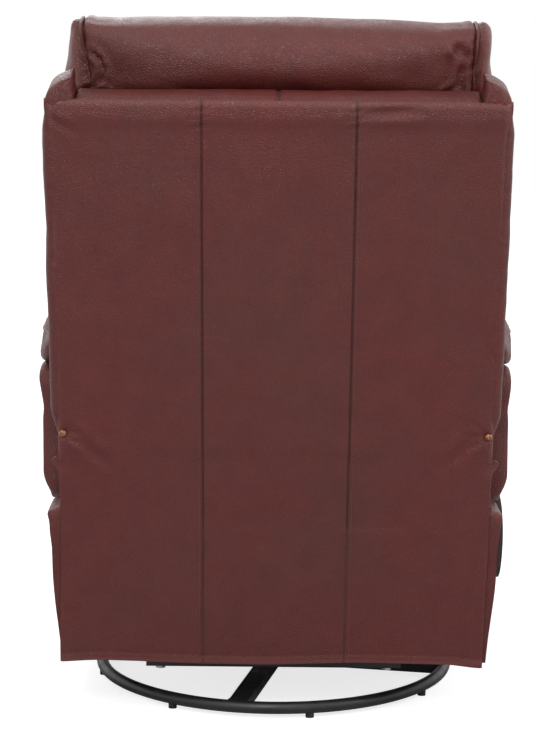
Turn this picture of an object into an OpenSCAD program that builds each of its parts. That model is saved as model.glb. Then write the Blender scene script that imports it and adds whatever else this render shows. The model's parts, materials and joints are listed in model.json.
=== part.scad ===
// Swivel glider recliner. Millimetres, +Z up, the sitter faces -Y.
// The origin is on the floor, on the swivel axis. The sitter's right is -X.

/* [Base] */
// Centreline radius of the floor ring
ring_r = 282.1; // [250:0.1:300]
// Diameter of the floor ring's tube
ring_d = 19; // [17:1:28]
// Height of a foot pad under the ring
foot_h = 6; // [4:1:20]
// Diameter of a foot pad
foot_d = 13; // [10:1:24]
// Number of foot pads
foot_count = 8; // [4:4:12]
// Width of a base spoke
spoke_w = 30; // [20:1:44]
// Height of a base spoke
spoke_h = 16; // [8:1:17]
// Turn of the spokes away from straight back, in degrees
base_turn = 11; // [0:1:45]
// Half diagonal of the hub plate
hub_half = 94; // [90:1:120]
// Thickness of the hub plate
hub_t = 4; // [3:0.5:8]
// Diameter of the swivel bearing
race_d = 177; // [165:1:200]
// Height of one bearing race
race_h = 6; // [4:0.5:10]
// Diameter of a bearing ball
ball_d = 8; // [6:0.5:9]
// Number of bearing balls
ball_count = 20; // [8:1:28]
// Pitch radius of the ball track
ball_track_r = 75; // [60:1:76]
// Depth of the ball groove in each race
groove_depth = 1; // [0.5:0.1:1.5]
// Diameter of the kingpin
kingpin_d = 16; // [12:1:24]

/* [Turntable] */
// Side of the square turntable plate
deck_side = 190; // [170:1:240]
// Thickness of the turntable plate
deck_t = 4; // [3:0.5:8]
// Side of the square frame tubes
tube_side = 25; // [20:1:30]
// Wall of the square frame tubes
tube_wall = 2; // [1.5:0.5:3]
// Distance of a lengthwise tube from the middle
long_tube_x = 70; // [50:1:90]
// Distance of a cross tube from the middle
cross_tube_y = 170; // [160:1:200]
// How far a cross tube's end stands past a glide post's inner face
tube_over = 10; // [6:1:12]
// How far a glide post's inner face stands inside the seat cushion's side
post_inset = 56; // [54:1:70]
// Width of a post's foot flange
post_flange = 40; // [30:1:60]
// Diameter of the frame bolts
bolt_d = 10; // [8:1:12]

/* [Plates and pins] */
// Thickness of the steel side plates and links
plate_t = 4; // [3:0.5:4.5]
// Free space between neighbouring plates
layer_gap = 4; // [3.5:0.1:5]
// Diameter of the pivot pins
pin_d = 12; // [8:1:14]
// Diameter of a pin's head
pin_head_d = 18; // [15:1:22]
// Thickness of a pin's head
pin_head_t = 2.5; // [1.5:0.1:2.8]
// Width of a glide link
link_w = 24; // [20:1:30]
// Radial clearance of a pivot
fit = 0.05; // [0.02:0.01:0.1]
// Sideways play of a link on its pin
side_play = 0.5; // [0.3:0.1:0.6]

/* [Glide] */
// Height of the body's lower edge above the turntable tubes
body_clear = 10.5; // [7:0.5:40]
// Height of the lower glide pins above the body's lower edge
glide_pin_rise = 19; // [14:1:40]
// Distance of the glide pins from the middle
glide_pin_y = 130; // [100:1:150]
// Length of a glide link between pins
glide_len = 120; // [90:1:130]

/* [Seat] */
// Width of the seat cushion
seat_w = 492; // [440:1:560]
// Depth of the seat cushion
seat_d = 575; // [520:1:580]
// Thickness of the seat cushion at its crown
seat_h = 110; // [90:1:140]
// How far the seat cushion's nose stands in front of the swivel axis
seat_nose_y = 455; // [440:1:460]
// Height of the seat deck's frame above the body's lower edge
seat_frame_rise = 244; // [240:1:260]
// Height of a seat frame rail
seat_rail_h = 35; // [25:1:40]
// Thickness of a seat frame rail
seat_rail_t = 20; // [15:1:30]
// Front edge of the seat frame in front of the swivel axis
seat_frame_front = 385; // [360:1:388]
// Rear edge of the seat frame behind the swivel axis
seat_frame_rear = 130; // [110:1:150]
// Thickness of the spring wire
spring_wire = 4; // [3:0.5:5]
// Number of seat springs
spring_count = 4; // [2:1:5]
// Thickness of the pad on the springs
deck_pad_t = 6.5; // [4:0.5:9]
// Travel of the seat along its track
seat_travel = 55; // [40:1:60]
// Rise of the seat's track towards the front, in degrees
track_rise = 10; // [5:1:15]
// Height of the seat's slide shoes above the body's lower edge
shoe_rise = 135; // [130:1:140]
// Front slide shoe in front of the swivel axis
shoe_front = 170; // [150:1:180]
// Rear slide shoe behind the swivel axis
shoe_rear = 164; // [150:1:180]
// Width of a slide shoe in its slot
shoe_w = 20; // [18:1:24]
// Height of the arms' inner pads above the body's lower edge
inner_pad_rise = 214; // [205:1:225]

/* [Back] */
// Lean of the back at rest, in degrees
lean = 12.6; // [10:0.1:15]
// Recline hinge behind the swivel axis
hinge_y = 300; // [290:1:305]
// Recline hinge above the body's lower edge
hinge_rise = 204; // [196:1:210]
// Length of the back from the hinge to its top edge
back_top = 673; // [640:1:700]
// Start of the back frame above the hinge, along the back
back_foot = 166; // [160:1:180]
// Lower hem of the outer panel above the hinge, along the back
hem = 135; // [130:1:140]
// Depth of the back frame
frame_depth = 66; // [50:1:80]
// Thickness of the rear leather skins
skin_t = 4; // [3:0.5:6]
// Distance of the rear skin behind the hinge, square to the back
skin_v = 31; // [29:0.5:33]
// How far the outer panel reaches past an arm's plywood frame
panel_over = 38; // [30:1:42]
// Distance of a panel seam from the middle
seam_x = 107; // [90:1:130]
// Width of a seam groove
seam_w = 2; // [1:0.5:4]
// Depth of a seam groove
seam_depth = 1; // [0.5:0.1:2]
// How far a wing's inner face stands outside the plywood frame's outer face
wing_step = 2; // [1:0.5:6]
// Thickness of a wing
wing_t = 40; // [30:1:46]
// Reach of a wing in front of the hinge line, square to the back
wing_reach = 100; // [80:1:110]
// Rise of a wing's hump above the back's top edge
wing_hump = 29; // [15:1:40]
// Thickness of the back cushions
back_pad_t = 148; // [110:1:150]
// Start of the lower back cushion above the hinge, along the back
pad_foot = 85; // [80:1:100]
// Start of the upper back cushion above the hinge, along the back
pad_split = 331; // [320:1:350]
// Start of the head pillow above the hinge, along the back
pillow_foot = 642; // [630:1:650]
// Top of the head pillow above the hinge, along the back
pillow_top = 752; // [740:1:790]
// How far the head pillow reaches over a wing
pillow_over = 18; // [0:1:22]
// Thickness of a back rail
back_rail_t = 20; // [15:1:20]
// Height of a back rail
back_rail_h = 60; // [40:1:80]
// Width of a webbing strap
strap_w = 50; // [30:1:60]
// Thickness of a webbing strap
strap_t = 2; // [1:0.5:2.5]
// Width of a back bracket
bracket_w = 30; // [26:1:34]
// Forward bend of a back bracket where it meets the frame
bracket_bend = 33; // [32:1:40]
// Length of a back bracket above the hinge
bracket_len = 290; // [230:1:320]
// Diameter of a nail's dome
nail_d = 12; // [8:1:14]
// Height of a nail above the hinge, along the back
nail_rise = 174; // [172:1:185]
// Distance of a nail from the outer panel's side edge
nail_inset = 7; // [7:1:18]

/* [Arms] */
// Clearance between the seat cushion and an arm
arm_gap = 2; // [1:0.5:6]
// Thickness of the arm's inner pad
arm_pad_t = 13.7; // [10:0.1:16]
// Thickness of the arm's plywood frame
ply_t = 18; // [12:1:18]
// Thickness of the lower side panel
side_panel_t = 54.7; // [44:0.1:60]
// Thickness of the arm bolster
bolster_t = 79.7; // [65:0.1:82]
// Width of the arm pillow, which is the widest place
arm_pillow_w = 120; // [112:1:132]
// Height of the arm's top above the body's lower edge
arm_rise = 530; // [500:1:560]
// Thickness of the arm pillow
arm_pillow_h = 81; // [60:1:100]
// Height of the side panel's upper edge above the body's lower edge
side_rise = 234; // [200:1:260]
// How far the arm's rear corner stands outside the side panel, below the bolster
corner_over = 4; // [0:1:8]
// Height of the arm's rear corner above the body's lower edge
corner_rise = 289; // [270:1:292]
// Front face of the plywood frame in front of the swivel axis
arm_front = 420; // [400:1:430]
// Thickness of the arm's front panel
front_panel_t = 34; // [20:1:40]
// Rear end of the bolster behind the swivel axis
arm_rear = 226; // [200:1:228]
// Rear end of the arm pillow behind the swivel axis
pillow_rear = 246; // [215:1:250]
// Inset of the frame and panels from the body's lower edge
arm_inset = 2; // [1:0.5:6]

/* [Chassis] */
// Diameter of a chassis cross tube
brace_d = 20; // [16:1:26]
// Front cross tube in front of the swivel axis
brace_front = 230; // [225:1:250]
// Rear cross tube behind the swivel axis
brace_rear = 190; // [186:1:215]
// Height of the cross tubes above the body's lower edge
brace_rise = 194; // [188:1:200]
// Front rail's front face in front of the swivel axis
rail_front = 330; // [320:1:340]
// Thickness of the front rail
front_rail_t = 25; // [18:1:30]
// Height of the front rail
front_rail_h = 24; // [18:1:28]
// Rear rail's rear face behind the swivel axis
rail_rear = 276; // [265:1:280]
// Thickness of the rear rail
rear_rail_t = 18; // [15:1:25]
// Height of the rear rail
rear_rail_h = 104; // [80:1:108]
// Top of the rear flap above the hinge, along the back
flap_top = 142; // [141:1:143]

/* [Footrest] */
// Half length of a footrest bar between rivets
half_bar = 115; // [100:1:118]
// Width of a footrest bar
bar_w = 22; // [16:1:24]
// Thickness of a footrest bar
bar_t = 3; // [2.5:0.5:3.5]
// Diameter of a footrest rivet
rivet_d = 8; // [6:1:10]
// Diameter of a rivet's head
rivet_head_d = 14; // [11:1:16]
// Height of the footrest's first pivot above the body's lower edge
foot_pivot_rise = 159; // [150:1:162]
// Rise of the footrest's path, in degrees
path_rise = 6; // [3:0.5:8]
// Angle of the stowed bars to the path, in degrees
stowed = 82; // [80:0.5:84]
// Front face of the footrest pad in front of the swivel axis
footrest_front = 477; // [470:1:490]
// Thickness of the footrest pad
footrest_pad_t = 61; // [40:1:70]
// Thickness of the footrest board
board_t = 15; // [10:1:18]
// Distance from the last rivet to the footrest board
board_reach = 50; // [44:1:56]
// How much narrower the footrest is than the seat, on each side
footrest_side = 1; // [0:0.5:20]
// Height of the footrest pad
footrest_h = 268; // [220:1:268]
// Height of the footrest's lower edge above the body's lower edge
footrest_rise = 6; // [2:1:8]
// Height of a footrest bracket
foot_bracket_h = 56; // [40:1:70]

/* [Lever] */
// Diameter of the lever shaft
lever_shaft_d = 12; // [10:1:14]
// Lever shaft behind the swivel axis
lever_y = 80; // [60:1:100]
// Height of the lever shaft above the body's lower edge
lever_rise = 111; // [80:1:111]
// How far the lever paddle's outer face stands outside the side panel
lever_reach = 29; // [26:1:34]
// Length of the lever paddle
paddle_len = 135; // [110:1:150]
// Width of the lever paddle
paddle_w = 45; // [30:1:50]
// Thickness of the lever paddle
paddle_t = 10; // [6:1:12]
// Bow of the lever paddle over its length
paddle_bow = 5; // [3:1:8]

/* [Hidden] */
$fn = 48;

leather = [0.36, 0.15, 0.14];
black_steel = [0.11, 0.11, 0.12];
zinc = [0.62, 0.64, 0.67];
timber = [0.76, 0.61, 0.42];
felt = [0.2, 0.19, 0.19];
copper = [0.72, 0.44, 0.28];
nylon = [0.06, 0.06, 0.06];

// Clearance between a soft piece and what it lies on
soft_gap = 0.3;
// Cuts run this far past the faces they open
overrun = 1;
// Gap that a weld bead or glue fills
weld_gap = 0.1;

// Heights, from the floor up
ring_z = foot_h + ring_d / 2;
spoke_z = ring_z + ring_d / 2 - spoke_h;
hub_z = spoke_z + spoke_h;
lower_race_z = hub_z + hub_t;
race_gap = ball_d - 2 * groove_depth;
ball_z = lower_race_z + race_h + race_gap / 2;
upper_race_z = lower_race_z + race_h + race_gap;
deck_z = upper_race_z + race_h;
tube_z = deck_z + deck_t;
post_z = tube_z + tube_side;
body_z = post_z + body_clear;

// Sideways layers of plates and links, each an inner face
post_x = seat_w / 2 - post_inset;
cross_tube_half = post_x + tube_over;
glide_link_x = post_x + plate_t + layer_gap;
chassis_x = glide_link_x + plate_t + layer_gap;
seat_plate_x = chassis_x + 2 * (plate_t + layer_gap);
seat_plate_out = seat_plate_x + plate_t;
bracket_x = seat_plate_out + layer_gap;
stile_x = bracket_x + plate_t;
bar_x1 = seat_plate_out + layer_gap;
bar_gap = bar_t;
bar_x2 = bar_x1 + bar_t + bar_gap;
collar_t = layer_gap - side_play;
pin_reach = layer_gap + plate_t + side_play + pin_head_t;

// Glide pins in the side view, as [Y, Z]
glide_low_z = body_z + glide_pin_rise;
glide_high_z = glide_low_z + glide_len;
post_head_r = pin_d + plate_t / 2;
post_foot_half = cross_tube_y + tube_side / 2;
bolt_x = post_x - post_flange * 0.3;
bolt_head_h = bolt_d / 2;
bolt_head_d = bolt_d * 1.5;

// Slide shoes in the side view, at the rear end of their track
track = [-cos(track_rise), sin(track_rise)];
shoes = [[-shoe_front, body_z + shoe_rise], [shoe_rear, body_z + shoe_rise]];
shoe_half = shoe_w / 4;
shoe_end_gap = 0.5;
shoe_flange_t = 3;

// Seat deck, from the frame up
seat_frame_z = body_z + seat_frame_rise;
spring_z = seat_frame_z + seat_rail_h;
deck_pad_z = spring_z + spring_wire + soft_gap;
seat_z = deck_pad_z + deck_pad_t + soft_gap;
deck_pad_half = seat_plate_x - plate_t;
plate_margin = 4;
seat_plate_low = shoes[0].y - link_w / 2 - plate_margin;

// Arms and the back's width, from the seat outward
arm_x = seat_w / 2 + arm_gap;
ply_x = arm_x + arm_pad_t + soft_gap;
ply_out = ply_x + ply_t;
side_x = ply_out + soft_gap + side_panel_t;
bolster_x = ply_out + soft_gap + bolster_t;
arm_out = arm_x + arm_pillow_w;
wing_x = ply_out + wing_step;
panel_w = 2 * (ply_out + panel_over);
nail_x = panel_w / 2 - nail_inset;
pillow_w = 2 * (wing_x + pillow_over);
footrest_w = seat_w - 2 * footrest_side;
lever_x = side_x + lever_reach;

// Back, in its own axes: x across, v rearward and square to it, u up along it
hinge_z = body_z + hinge_rise;
skin_inner = skin_v - skin_t;
frame_rear_v = skin_inner - soft_gap;
frame_front_v = frame_rear_v - frame_depth;
frame_top = back_top - skin_t - soft_gap;
back_pad_rear = frame_front_v - 2 * strap_t - soft_gap;
stile_out = wing_x - soft_gap;
wing_top = back_top + wing_hump;
hinge_boss_r = 18;
function back_y(v, z) = hinge_y + tan(lean) * (z - hinge_z) + v / cos(lean);
function back_u(v, z) = (z - hinge_z + v * sin(lean)) / cos(lean);

// Arm heights
arm_low_z = body_z + arm_inset;
arm_top_z = body_z + arm_rise;
arm_seam_z = arm_top_z - arm_pillow_h;
side_top_z = body_z + side_rise;
corner_z = body_z + corner_rise;
inner_pad_z = body_z + inner_pad_rise;
arm_line_v = skin_inner - soft_gap;
front_panel_w = bolster_x - ply_x - arm_pad_t;

// Footrest lazy tongs in the side view: the path's direction and its square
path = [-cos(path_rise), sin(path_rise)];
path_square = [sin(path_rise), cos(path_rise)];
board_y = -(footrest_front - footrest_pad_t - soft_gap - board_t);
stowed_step = half_bar * cos(stowed);
stowed_lift = half_bar * sin(stowed);
foot_pivot = [board_y + board_reach + 4 * stowed_step * cos(path_rise), body_z + foot_pivot_rise];
function centre(k) = foot_pivot + k * stowed_step * path;
function upper(k) = centre(k) + stowed_lift * path_square;
function lower(k) = centre(k) - stowed_lift * path_square;
rivet_collar = bar_gap - side_play;
rivet_head_t = layer_gap / 2;
foot_bracket_x = bar_x1 - bar_t - bar_gap;
footrest_z = body_z + footrest_rise;
pivot_rim = bar_w * 0.7;

// Lever
lever_z = body_z + lever_rise;
paddle_r = (pow(paddle_len / 2, 2) + pow(paddle_bow, 2)) / (2 * paddle_bow);
bush_wall = 4;
bush_flange = 2;
boss_d = lever_shaft_d * 2;

// Soft forms: corners of the plan, sides drawn in, points around and rings
squareness = 8;
drawn_in_share = 0.035;
soft_sides = 24;
soft_rings = 10;
function signed_pow(a, e) = sign(a) * pow(abs(a), e);
function side_pull(a) = 1 - drawn_in_share * (1 - abs(sin(2 * a)));
function plan(a) = side_pull(a) * [signed_pow(cos(a), 2 / squareness), signed_pow(sin(a), 2 / squareness)];
plan_reach = max([for (k = [0:soft_sides - 1]) plan(360 * k / soft_sides).x]);
// A station is [height, centre x, centre y, half width, half depth]
function station_point(s, a) =
    [s[1] + s[3] * plan(a).x / plan_reach, s[2] + s[4] * plan(a).y / plan_reach, s[0]];

// Closed soft skin through its stations; the first and last close to a point
module loft(stations) {
    last = len(stations) - 1;
    points = concat(
        [[stations[0][1], stations[0][2], stations[0][0]]],
        [for (i = [1:last - 1], k = [0:soft_sides - 1]) station_point(stations[i], 360 * k / soft_sides)],
        [[stations[last][1], stations[last][2], stations[last][0]]]);
    tip = len(points) - 1;
    top = tip - soft_sides;
    steps = [for (k = [0:soft_sides - 1]) [k, (k + 1) % soft_sides]];
    faces = concat(
        [for (s = steps) [0, 1 + s[0], 1 + s[1]]],
        [for (i = [0:last - 3], s = steps) let (row = 1 + i * soft_sides)
            each [[row + s[0], row + soft_sides + s[0], row + soft_sides + s[1]],
                  [row + s[0], row + soft_sides + s[1], row + s[1]]]],
        [for (s = steps) [tip, top + s[1], top + s[0]]]);
    polyhedron(points, faces);
}

// Padded cushion about its middle, crowned along z; a lower roundness is puffier
module cushion(w, d, h, roundness) {
    loft([for (i = [0:soft_rings])
        let (a = 180 * i / soft_rings - 90, share = pow(max(cos(a), 0), 2 / roundness))
        [signed_pow(sin(a), 2 / roundness) * h / 2, 0, 0, share * w / 2, share * d / 2]]);
}

// Places a shape drawn as [Y, Z] so that it grows along +X from x
module side_view(x) {
    translate([x, 0, 0]) rotate([90, 0, 90]) children();
}

module both_sides() {
    children();
    mirror([1, 0, 0]) children();
}

// The back's own axes at rest
module on_back() {
    translate([0, hinge_y, hinge_z]) rotate([-lean, 0, 0]) children();
}

// Flat bar with round ends between two points of the side view
module bar(p, q, w, t) {
    run = norm(q - p);
    translate([p.x, p.y, 0]) rotate([0, 0, atan2(q.y - p.y, q.x - p.x)]) {
        translate([0, -w / 2, 0]) cube([run, w, t]);
        cylinder(d = w, h = t);
        translate([run, 0, 0]) cylinder(d = w, h = t);
    }
}

// Round hole of diameter d through thickness t at p of the side view
module hole(p, d, t) {
    translate([p.x, p.y, -overrun]) cylinder(d = d, h = t + 2 * overrun);
}

// Link with a running bore at each end, its inner face at x
module link(p, q, x) {
    side_view(x) difference() {
        bar(p, q, link_w, plate_t);
        for (c = [p, q]) hole(c, pin_d + 2 * fit, plate_t);
    }
}

// Headed pin with a spacing collar, from a plate's face at x towards side (1 or -1)
module pin(p, x, side) {
    translate([x, p.x, p.y]) rotate([0, 90 * side, 0]) {
        cylinder(d = pin_head_d, h = collar_t);
        cylinder(d = pin_d, h = pin_reach);
        translate([0, 0, pin_reach - pin_head_t]) cylinder(d = pin_head_d, h = pin_head_t);
    }
}

// Square tube of the turntable, along z
module square_tube(length) {
    linear_extrude(length) difference() {
        square(tube_side, center = true);
        square(tube_side - 2 * tube_wall, center = true);
    }
}

module ring_solid(extra) {
    translate([0, 0, ring_z]) rotate_extrude($fn = 96)
        translate([ring_r, 0]) circle(d = ring_d + extra);
}

module base_ring() {
    color(black_steel) ring_solid(0);
}

module base_spokes() {
    half_w = spoke_w / 2;
    color(black_steel) rotate([0, 0, -base_turn]) difference() {
        union() {
            translate([-half_w, -ring_r, spoke_z]) cube([spoke_w, 2 * ring_r, spoke_h]);
            for (side = [0, 180]) rotate([0, 0, side])
                translate([half_w + weld_gap, -half_w, spoke_z]) cube([ring_r - half_w, spoke_w, spoke_h]);
        }
        ring_solid(2 * weld_gap);
    }
}

module base_hub_plate() {
    side = hub_half * sqrt(2);
    color(black_steel) rotate([0, 0, 45 - base_turn]) difference() {
        translate([-side / 2, -side / 2, hub_z]) cube([side, side, hub_t]);
        translate([0, 0, hub_z - overrun]) cylinder(d = kingpin_d + 2 * fit, h = hub_t + 2 * overrun);
    }
}

module base_feet() {
    pitch = 360 / foot_count;
    color(felt) difference() {
        for (i = [0:foot_count - 1]) rotate([0, 0, (i + 0.5) * pitch - base_turn])
            translate([0, ring_r, 0]) cylinder(d = foot_d, h = foot_h + ring_d / 8);
        ring_solid(2 * fit);
    }
}

// One bearing race, its ball groove at the height of the balls
module race(z) {
    difference() {
        translate([0, 0, z]) cylinder(d = race_d, h = race_h, $fn = 96);
        translate([0, 0, z - overrun]) cylinder(d = kingpin_d + 2 * fit, h = race_h + 2 * overrun);
        translate([0, 0, ball_z]) rotate_extrude($fn = 96)
            translate([ball_track_r, 0]) circle(d = ball_d + 2 * fit);
    }
}

module bearing_lower_race() {
    color(zinc) race(lower_race_z);
}

module bearing_upper_race() {
    color(zinc) race(upper_race_z);
}

module bearing_balls() {
    color(zinc) for (i = [0:ball_count - 1]) rotate([0, 0, i * 360 / ball_count])
        translate([ball_track_r, 0, ball_z]) sphere(d = ball_d);
}

module kingpin() {
    washer_t = deck_t / 2;
    nut_z = tube_z + soft_gap + washer_t;
    color(zinc) {
        translate([0, 0, hub_z]) cylinder(d = kingpin_d, h = nut_z + kingpin_d * 0.7 - hub_z);
        translate([0, 0, nut_z - washer_t]) cylinder(d = kingpin_d * 2, h = washer_t);
        translate([0, 0, nut_z]) cylinder(d = kingpin_d * 1.7, h = kingpin_d * 0.6, $fn = 6);
    }
}

module turntable_plate() {
    color(black_steel) difference() {
        translate([-deck_side / 2, -deck_side / 2, deck_z]) cube([deck_side, deck_side, deck_t]);
        translate([0, 0, deck_z - overrun]) cylinder(d = kingpin_d + 2 * fit, h = deck_t + 2 * overrun);
    }
}

module turntable_long_tubes() {
    run = 2 * cross_tube_y - tube_side;
    color(black_steel) both_sides()
        translate([long_tube_x, run / 2, tube_z + tube_side / 2]) rotate([90, 0, 0]) square_tube(run);
}

module turntable_cross_tubes() {
    color(black_steel) difference() {
        for (y = [-cross_tube_y, cross_tube_y])
            translate([-cross_tube_half, y, tube_z + tube_side / 2]) rotate([0, 90, 0])
                square_tube(2 * cross_tube_half);
        bolt_places() translate([0, 0, tube_z - overrun])
            cylinder(d = bolt_d + 2 * fit, h = tube_side + 2 * overrun);
    }
}

module bolt_places() {
    for (x = [-bolt_x, bolt_x], y = [-cross_tube_y, cross_tube_y]) translate([x, y, 0]) children();
}

// Steel post plates that hold the glide's upper pins, each with a foot flange
module glide_posts() {
    shoulder_z = post_z + post_flange;
    color(black_steel) difference() {
        both_sides() {
            side_view(post_x) linear_extrude(plate_t) {
                for (side = [-1, 1]) translate([side * glide_pin_y, glide_high_z]) circle(post_head_r);
                polygon([
                    [-post_foot_half, post_z], [post_foot_half, post_z], [post_foot_half, shoulder_z],
                    [glide_pin_y + post_head_r, glide_high_z], [glide_pin_y, glide_high_z + post_head_r],
                    [-glide_pin_y, glide_high_z + post_head_r], [-glide_pin_y - post_head_r, glide_high_z],
                    [-post_foot_half, shoulder_z]]);
            }
            translate([post_x - post_flange, -post_foot_half, post_z])
                cube([post_flange, 2 * post_foot_half, plate_t]);
        }
        bolt_places() translate([0, 0, post_z - overrun])
            cylinder(d = bolt_d + 2 * fit, h = plate_t + 2 * overrun);
    }
}

module glide_upper_pins() {
    color(zinc) both_sides() for (y = [-glide_pin_y, glide_pin_y])
        pin([y, glide_high_z], post_x + plate_t, 1);
}

// Bolts that hold the posts to the cross tubes, with a nut below
module turntable_bolts() {
    color(zinc) bolt_places() {
        translate([0, 0, tube_z - bolt_head_h]) cylinder(d = bolt_head_d, h = bolt_head_h);
        translate([0, 0, tube_z - bolt_head_h]) cylinder(d = bolt_d, h = post_z + plate_t - tube_z + bolt_head_h);
        translate([0, 0, post_z + plate_t]) cylinder(d = bolt_head_d, h = bolt_head_h, $fn = 6);
    }
}

module glide_front_links() {
    color(zinc) both_sides()
        link([-glide_pin_y, glide_high_z], [-glide_pin_y, glide_low_z], glide_link_x);
}

module glide_rear_links() {
    color(zinc) both_sides()
        link([glide_pin_y, glide_high_z], [glide_pin_y, glide_low_z], glide_link_x);
}

rail_front_back = -(rail_front - front_rail_t);
rail_rear_front = rail_rear - rear_rail_t;
rear_rail_top = body_z + rear_rail_h;
brace_z = body_z + brace_rise;
chassis_top = inner_pad_z + pin_head_d;

// Steel side plates between the front and rear rails, slotted for the seat's shoes
module chassis_plates() {
    color(black_steel) difference() {
        both_sides() side_view(chassis_x) linear_extrude(plate_t) polygon([
            [rail_front_back, body_z], [rail_rear_front, body_z], [rail_rear_front, rear_rail_top],
            [brace_rear + brace_d, chassis_top], [-brace_front - brace_d, chassis_top],
            [rail_front_back, body_z + front_rail_h]]);
        side_view(-chassis_x - plate_t) hole([lever_y, lever_z], lever_shaft_d + 2 * fit, plate_t);
        both_sides() side_view(chassis_x - overrun) for (p = shoes)
            bar(p - (shoe_half + shoe_end_gap) * track, p + (shoe_half + shoe_end_gap + seat_travel) * track,
                shoe_w + 2 * fit, plate_t + 2 * overrun);
    }
}

module chassis_cross_tubes() {
    wall = tube_wall;
    color(black_steel) for (y = [-brace_front, brace_rear])
        translate([-chassis_x, y, brace_z]) rotate([0, 90, 0]) difference() {
            cylinder(d = brace_d, h = 2 * chassis_x);
            translate([0, 0, -overrun]) cylinder(d = brace_d - 2 * wall, h = 2 * chassis_x + 2 * overrun);
        }
}

module chassis_pins() {
    color(zinc) both_sides() {
        for (y = [-glide_pin_y, glide_pin_y]) pin([y, glide_low_z], chassis_x, -1);
    }
}

frame_bolt_d = 8;
frame_bolt_grip = 30;
front_bolt = [-rail_front + front_rail_t / 2, body_z + front_rail_h / 2];
rear_bolts = [for (share = [0.25, 0.75]) [rail_rear - rear_rail_t / 2, body_z + rear_rail_h * share]];

// Bolts into the rails' ends, along +X from inside the rail to the frame's face
module frame_bolts(extra) {
    for (p = concat([front_bolt], rear_bolts)) side_view(ply_x - frame_bolt_grip) {
        translate([p.x, p.y, 0]) cylinder(d = frame_bolt_d + extra, h = frame_bolt_grip + ply_t / 2);
        translate([p.x, p.y, frame_bolt_grip + ply_t / 2])
            cylinder(d = 2 * frame_bolt_d + extra, h = frame_bolt_d / 2);
    }
}

module chassis_bolts() {
    color(zinc) both_sides() frame_bolts(0);
}

module front_rail() {
    color(timber) difference() {
        translate([-ply_x, -rail_front, body_z]) cube([2 * ply_x, front_rail_t, front_rail_h]);
        both_sides() frame_bolts(2 * fit);
    }
}

module rear_rail() {
    color(timber) difference() {
        translate([-ply_x, rail_rear_front, body_z]) cube([2 * ply_x, rear_rail_t, rear_rail_h]);
        both_sides() frame_bolts(2 * fit);
    }
}

// Plywood arm sides; the rear edge below the corner follows the rear flap
module arm_frames() {
    counterbore = ply_t / 2;
    color(timber) difference() {
        both_sides() side_view(ply_x) linear_extrude(ply_t) polygon([
            [-arm_front, arm_low_z], [back_y(arm_line_v, arm_low_z), arm_low_z],
            [back_y(arm_line_v, corner_z), corner_z], [arm_rear, corner_z],
            [arm_rear, arm_seam_z], [-arm_front, arm_seam_z]]);
        both_sides() {
            frame_bolts(2 * fit);
            for (p = concat([front_bolt], rear_bolts)) side_view(ply_x + counterbore)
                translate([p.x, p.y, 0]) cylinder(d = 2 * frame_bolt_d + 2 * fit, h = counterbore + overrun);
        }
        side_view(-ply_out) hole([lever_y, lever_z], lever_shaft_d + 2 * bush_wall + 2 * fit, ply_t);
    }
}

module arm_inner_pads() {
    run = arm_front + arm_rear;
    rise = arm_seam_z - inner_pad_z;
    color(leather) both_sides()
        side_view(arm_x + arm_pad_t / 2) translate([(arm_rear - arm_front) / 2, inner_pad_z + rise / 2, 0])
            cushion(run, rise, arm_pad_t, 5);
}

// Padded lower sides, each with a rear corner block that rises to the back
module arm_side_panels() {
    inner = ply_out + soft_gap;
    panel_t = side_x - inner;
    corner_t = panel_w / 2 - inner;
    foot_t = side_x + corner_over - inner;
    run = arm_front + arm_rear;
    rise = side_top_z - arm_low_z;
    color(leather) difference() {
        both_sides() {
            side_view(inner + panel_t / 2) translate([(arm_rear - arm_front) / 2, arm_low_z + rise / 2, 0])
                cushion(run, rise, panel_t, 4);
            side_view(inner) {
                linear_extrude(foot_t) polygon([
                    [arm_rear + soft_gap, arm_low_z], [back_y(arm_line_v, arm_low_z), arm_low_z],
                    [back_y(arm_line_v, side_top_z), side_top_z], [arm_rear + soft_gap, side_top_z]]);
                linear_extrude(corner_t) polygon([
                    [arm_rear + soft_gap, arm_low_z], [back_y(arm_line_v, arm_low_z), arm_low_z],
                    [back_y(arm_line_v, corner_z), corner_z], [arm_rear + soft_gap, corner_z]]);
            }
        }
        side_view(-side_x) hole([lever_y, lever_z], lever_shaft_d + 2 * bush_wall, panel_t);
    }
}

module arm_bolsters() {
    run = arm_front + arm_rear;
    low = side_top_z + soft_gap;
    rise = arm_seam_z - low;
    depth = bolster_x - ply_out - soft_gap;
    color(leather) both_sides() side_view(ply_out + soft_gap + depth / 2)
        translate([(arm_rear - arm_front) / 2, low + rise / 2, 0]) cushion(run, rise, depth, 4);
}

// Long pillows on top, settled into the dip of the bolsters' upper edge
module arm_pillows() {
    run = arm_front + front_panel_t + pillow_rear;
    dip = (arm_seam_z - side_top_z) / 2 * (1 - plan(90).y / plan_reach);
    h = arm_pillow_h - soft_gap + dip;
    color(leather) both_sides()
        translate([(arm_x + arm_out) / 2, pillow_rear - run / 2, arm_top_z - h / 2])
            cushion(arm_out - arm_x, run, h, 3);
}

module arm_front_panels() {
    rise = arm_seam_z - arm_low_z;
    color(leather) both_sides()
        translate([arm_x + front_panel_w / 2, -arm_front - soft_gap - front_panel_t / 2, arm_low_z + rise / 2])
            rotate([90, 0, 0]) cushion(front_panel_w, rise, front_panel_t, 4);
}

// Distance below the hem at which the flap turns inward
flap_bend = 15;

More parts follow.
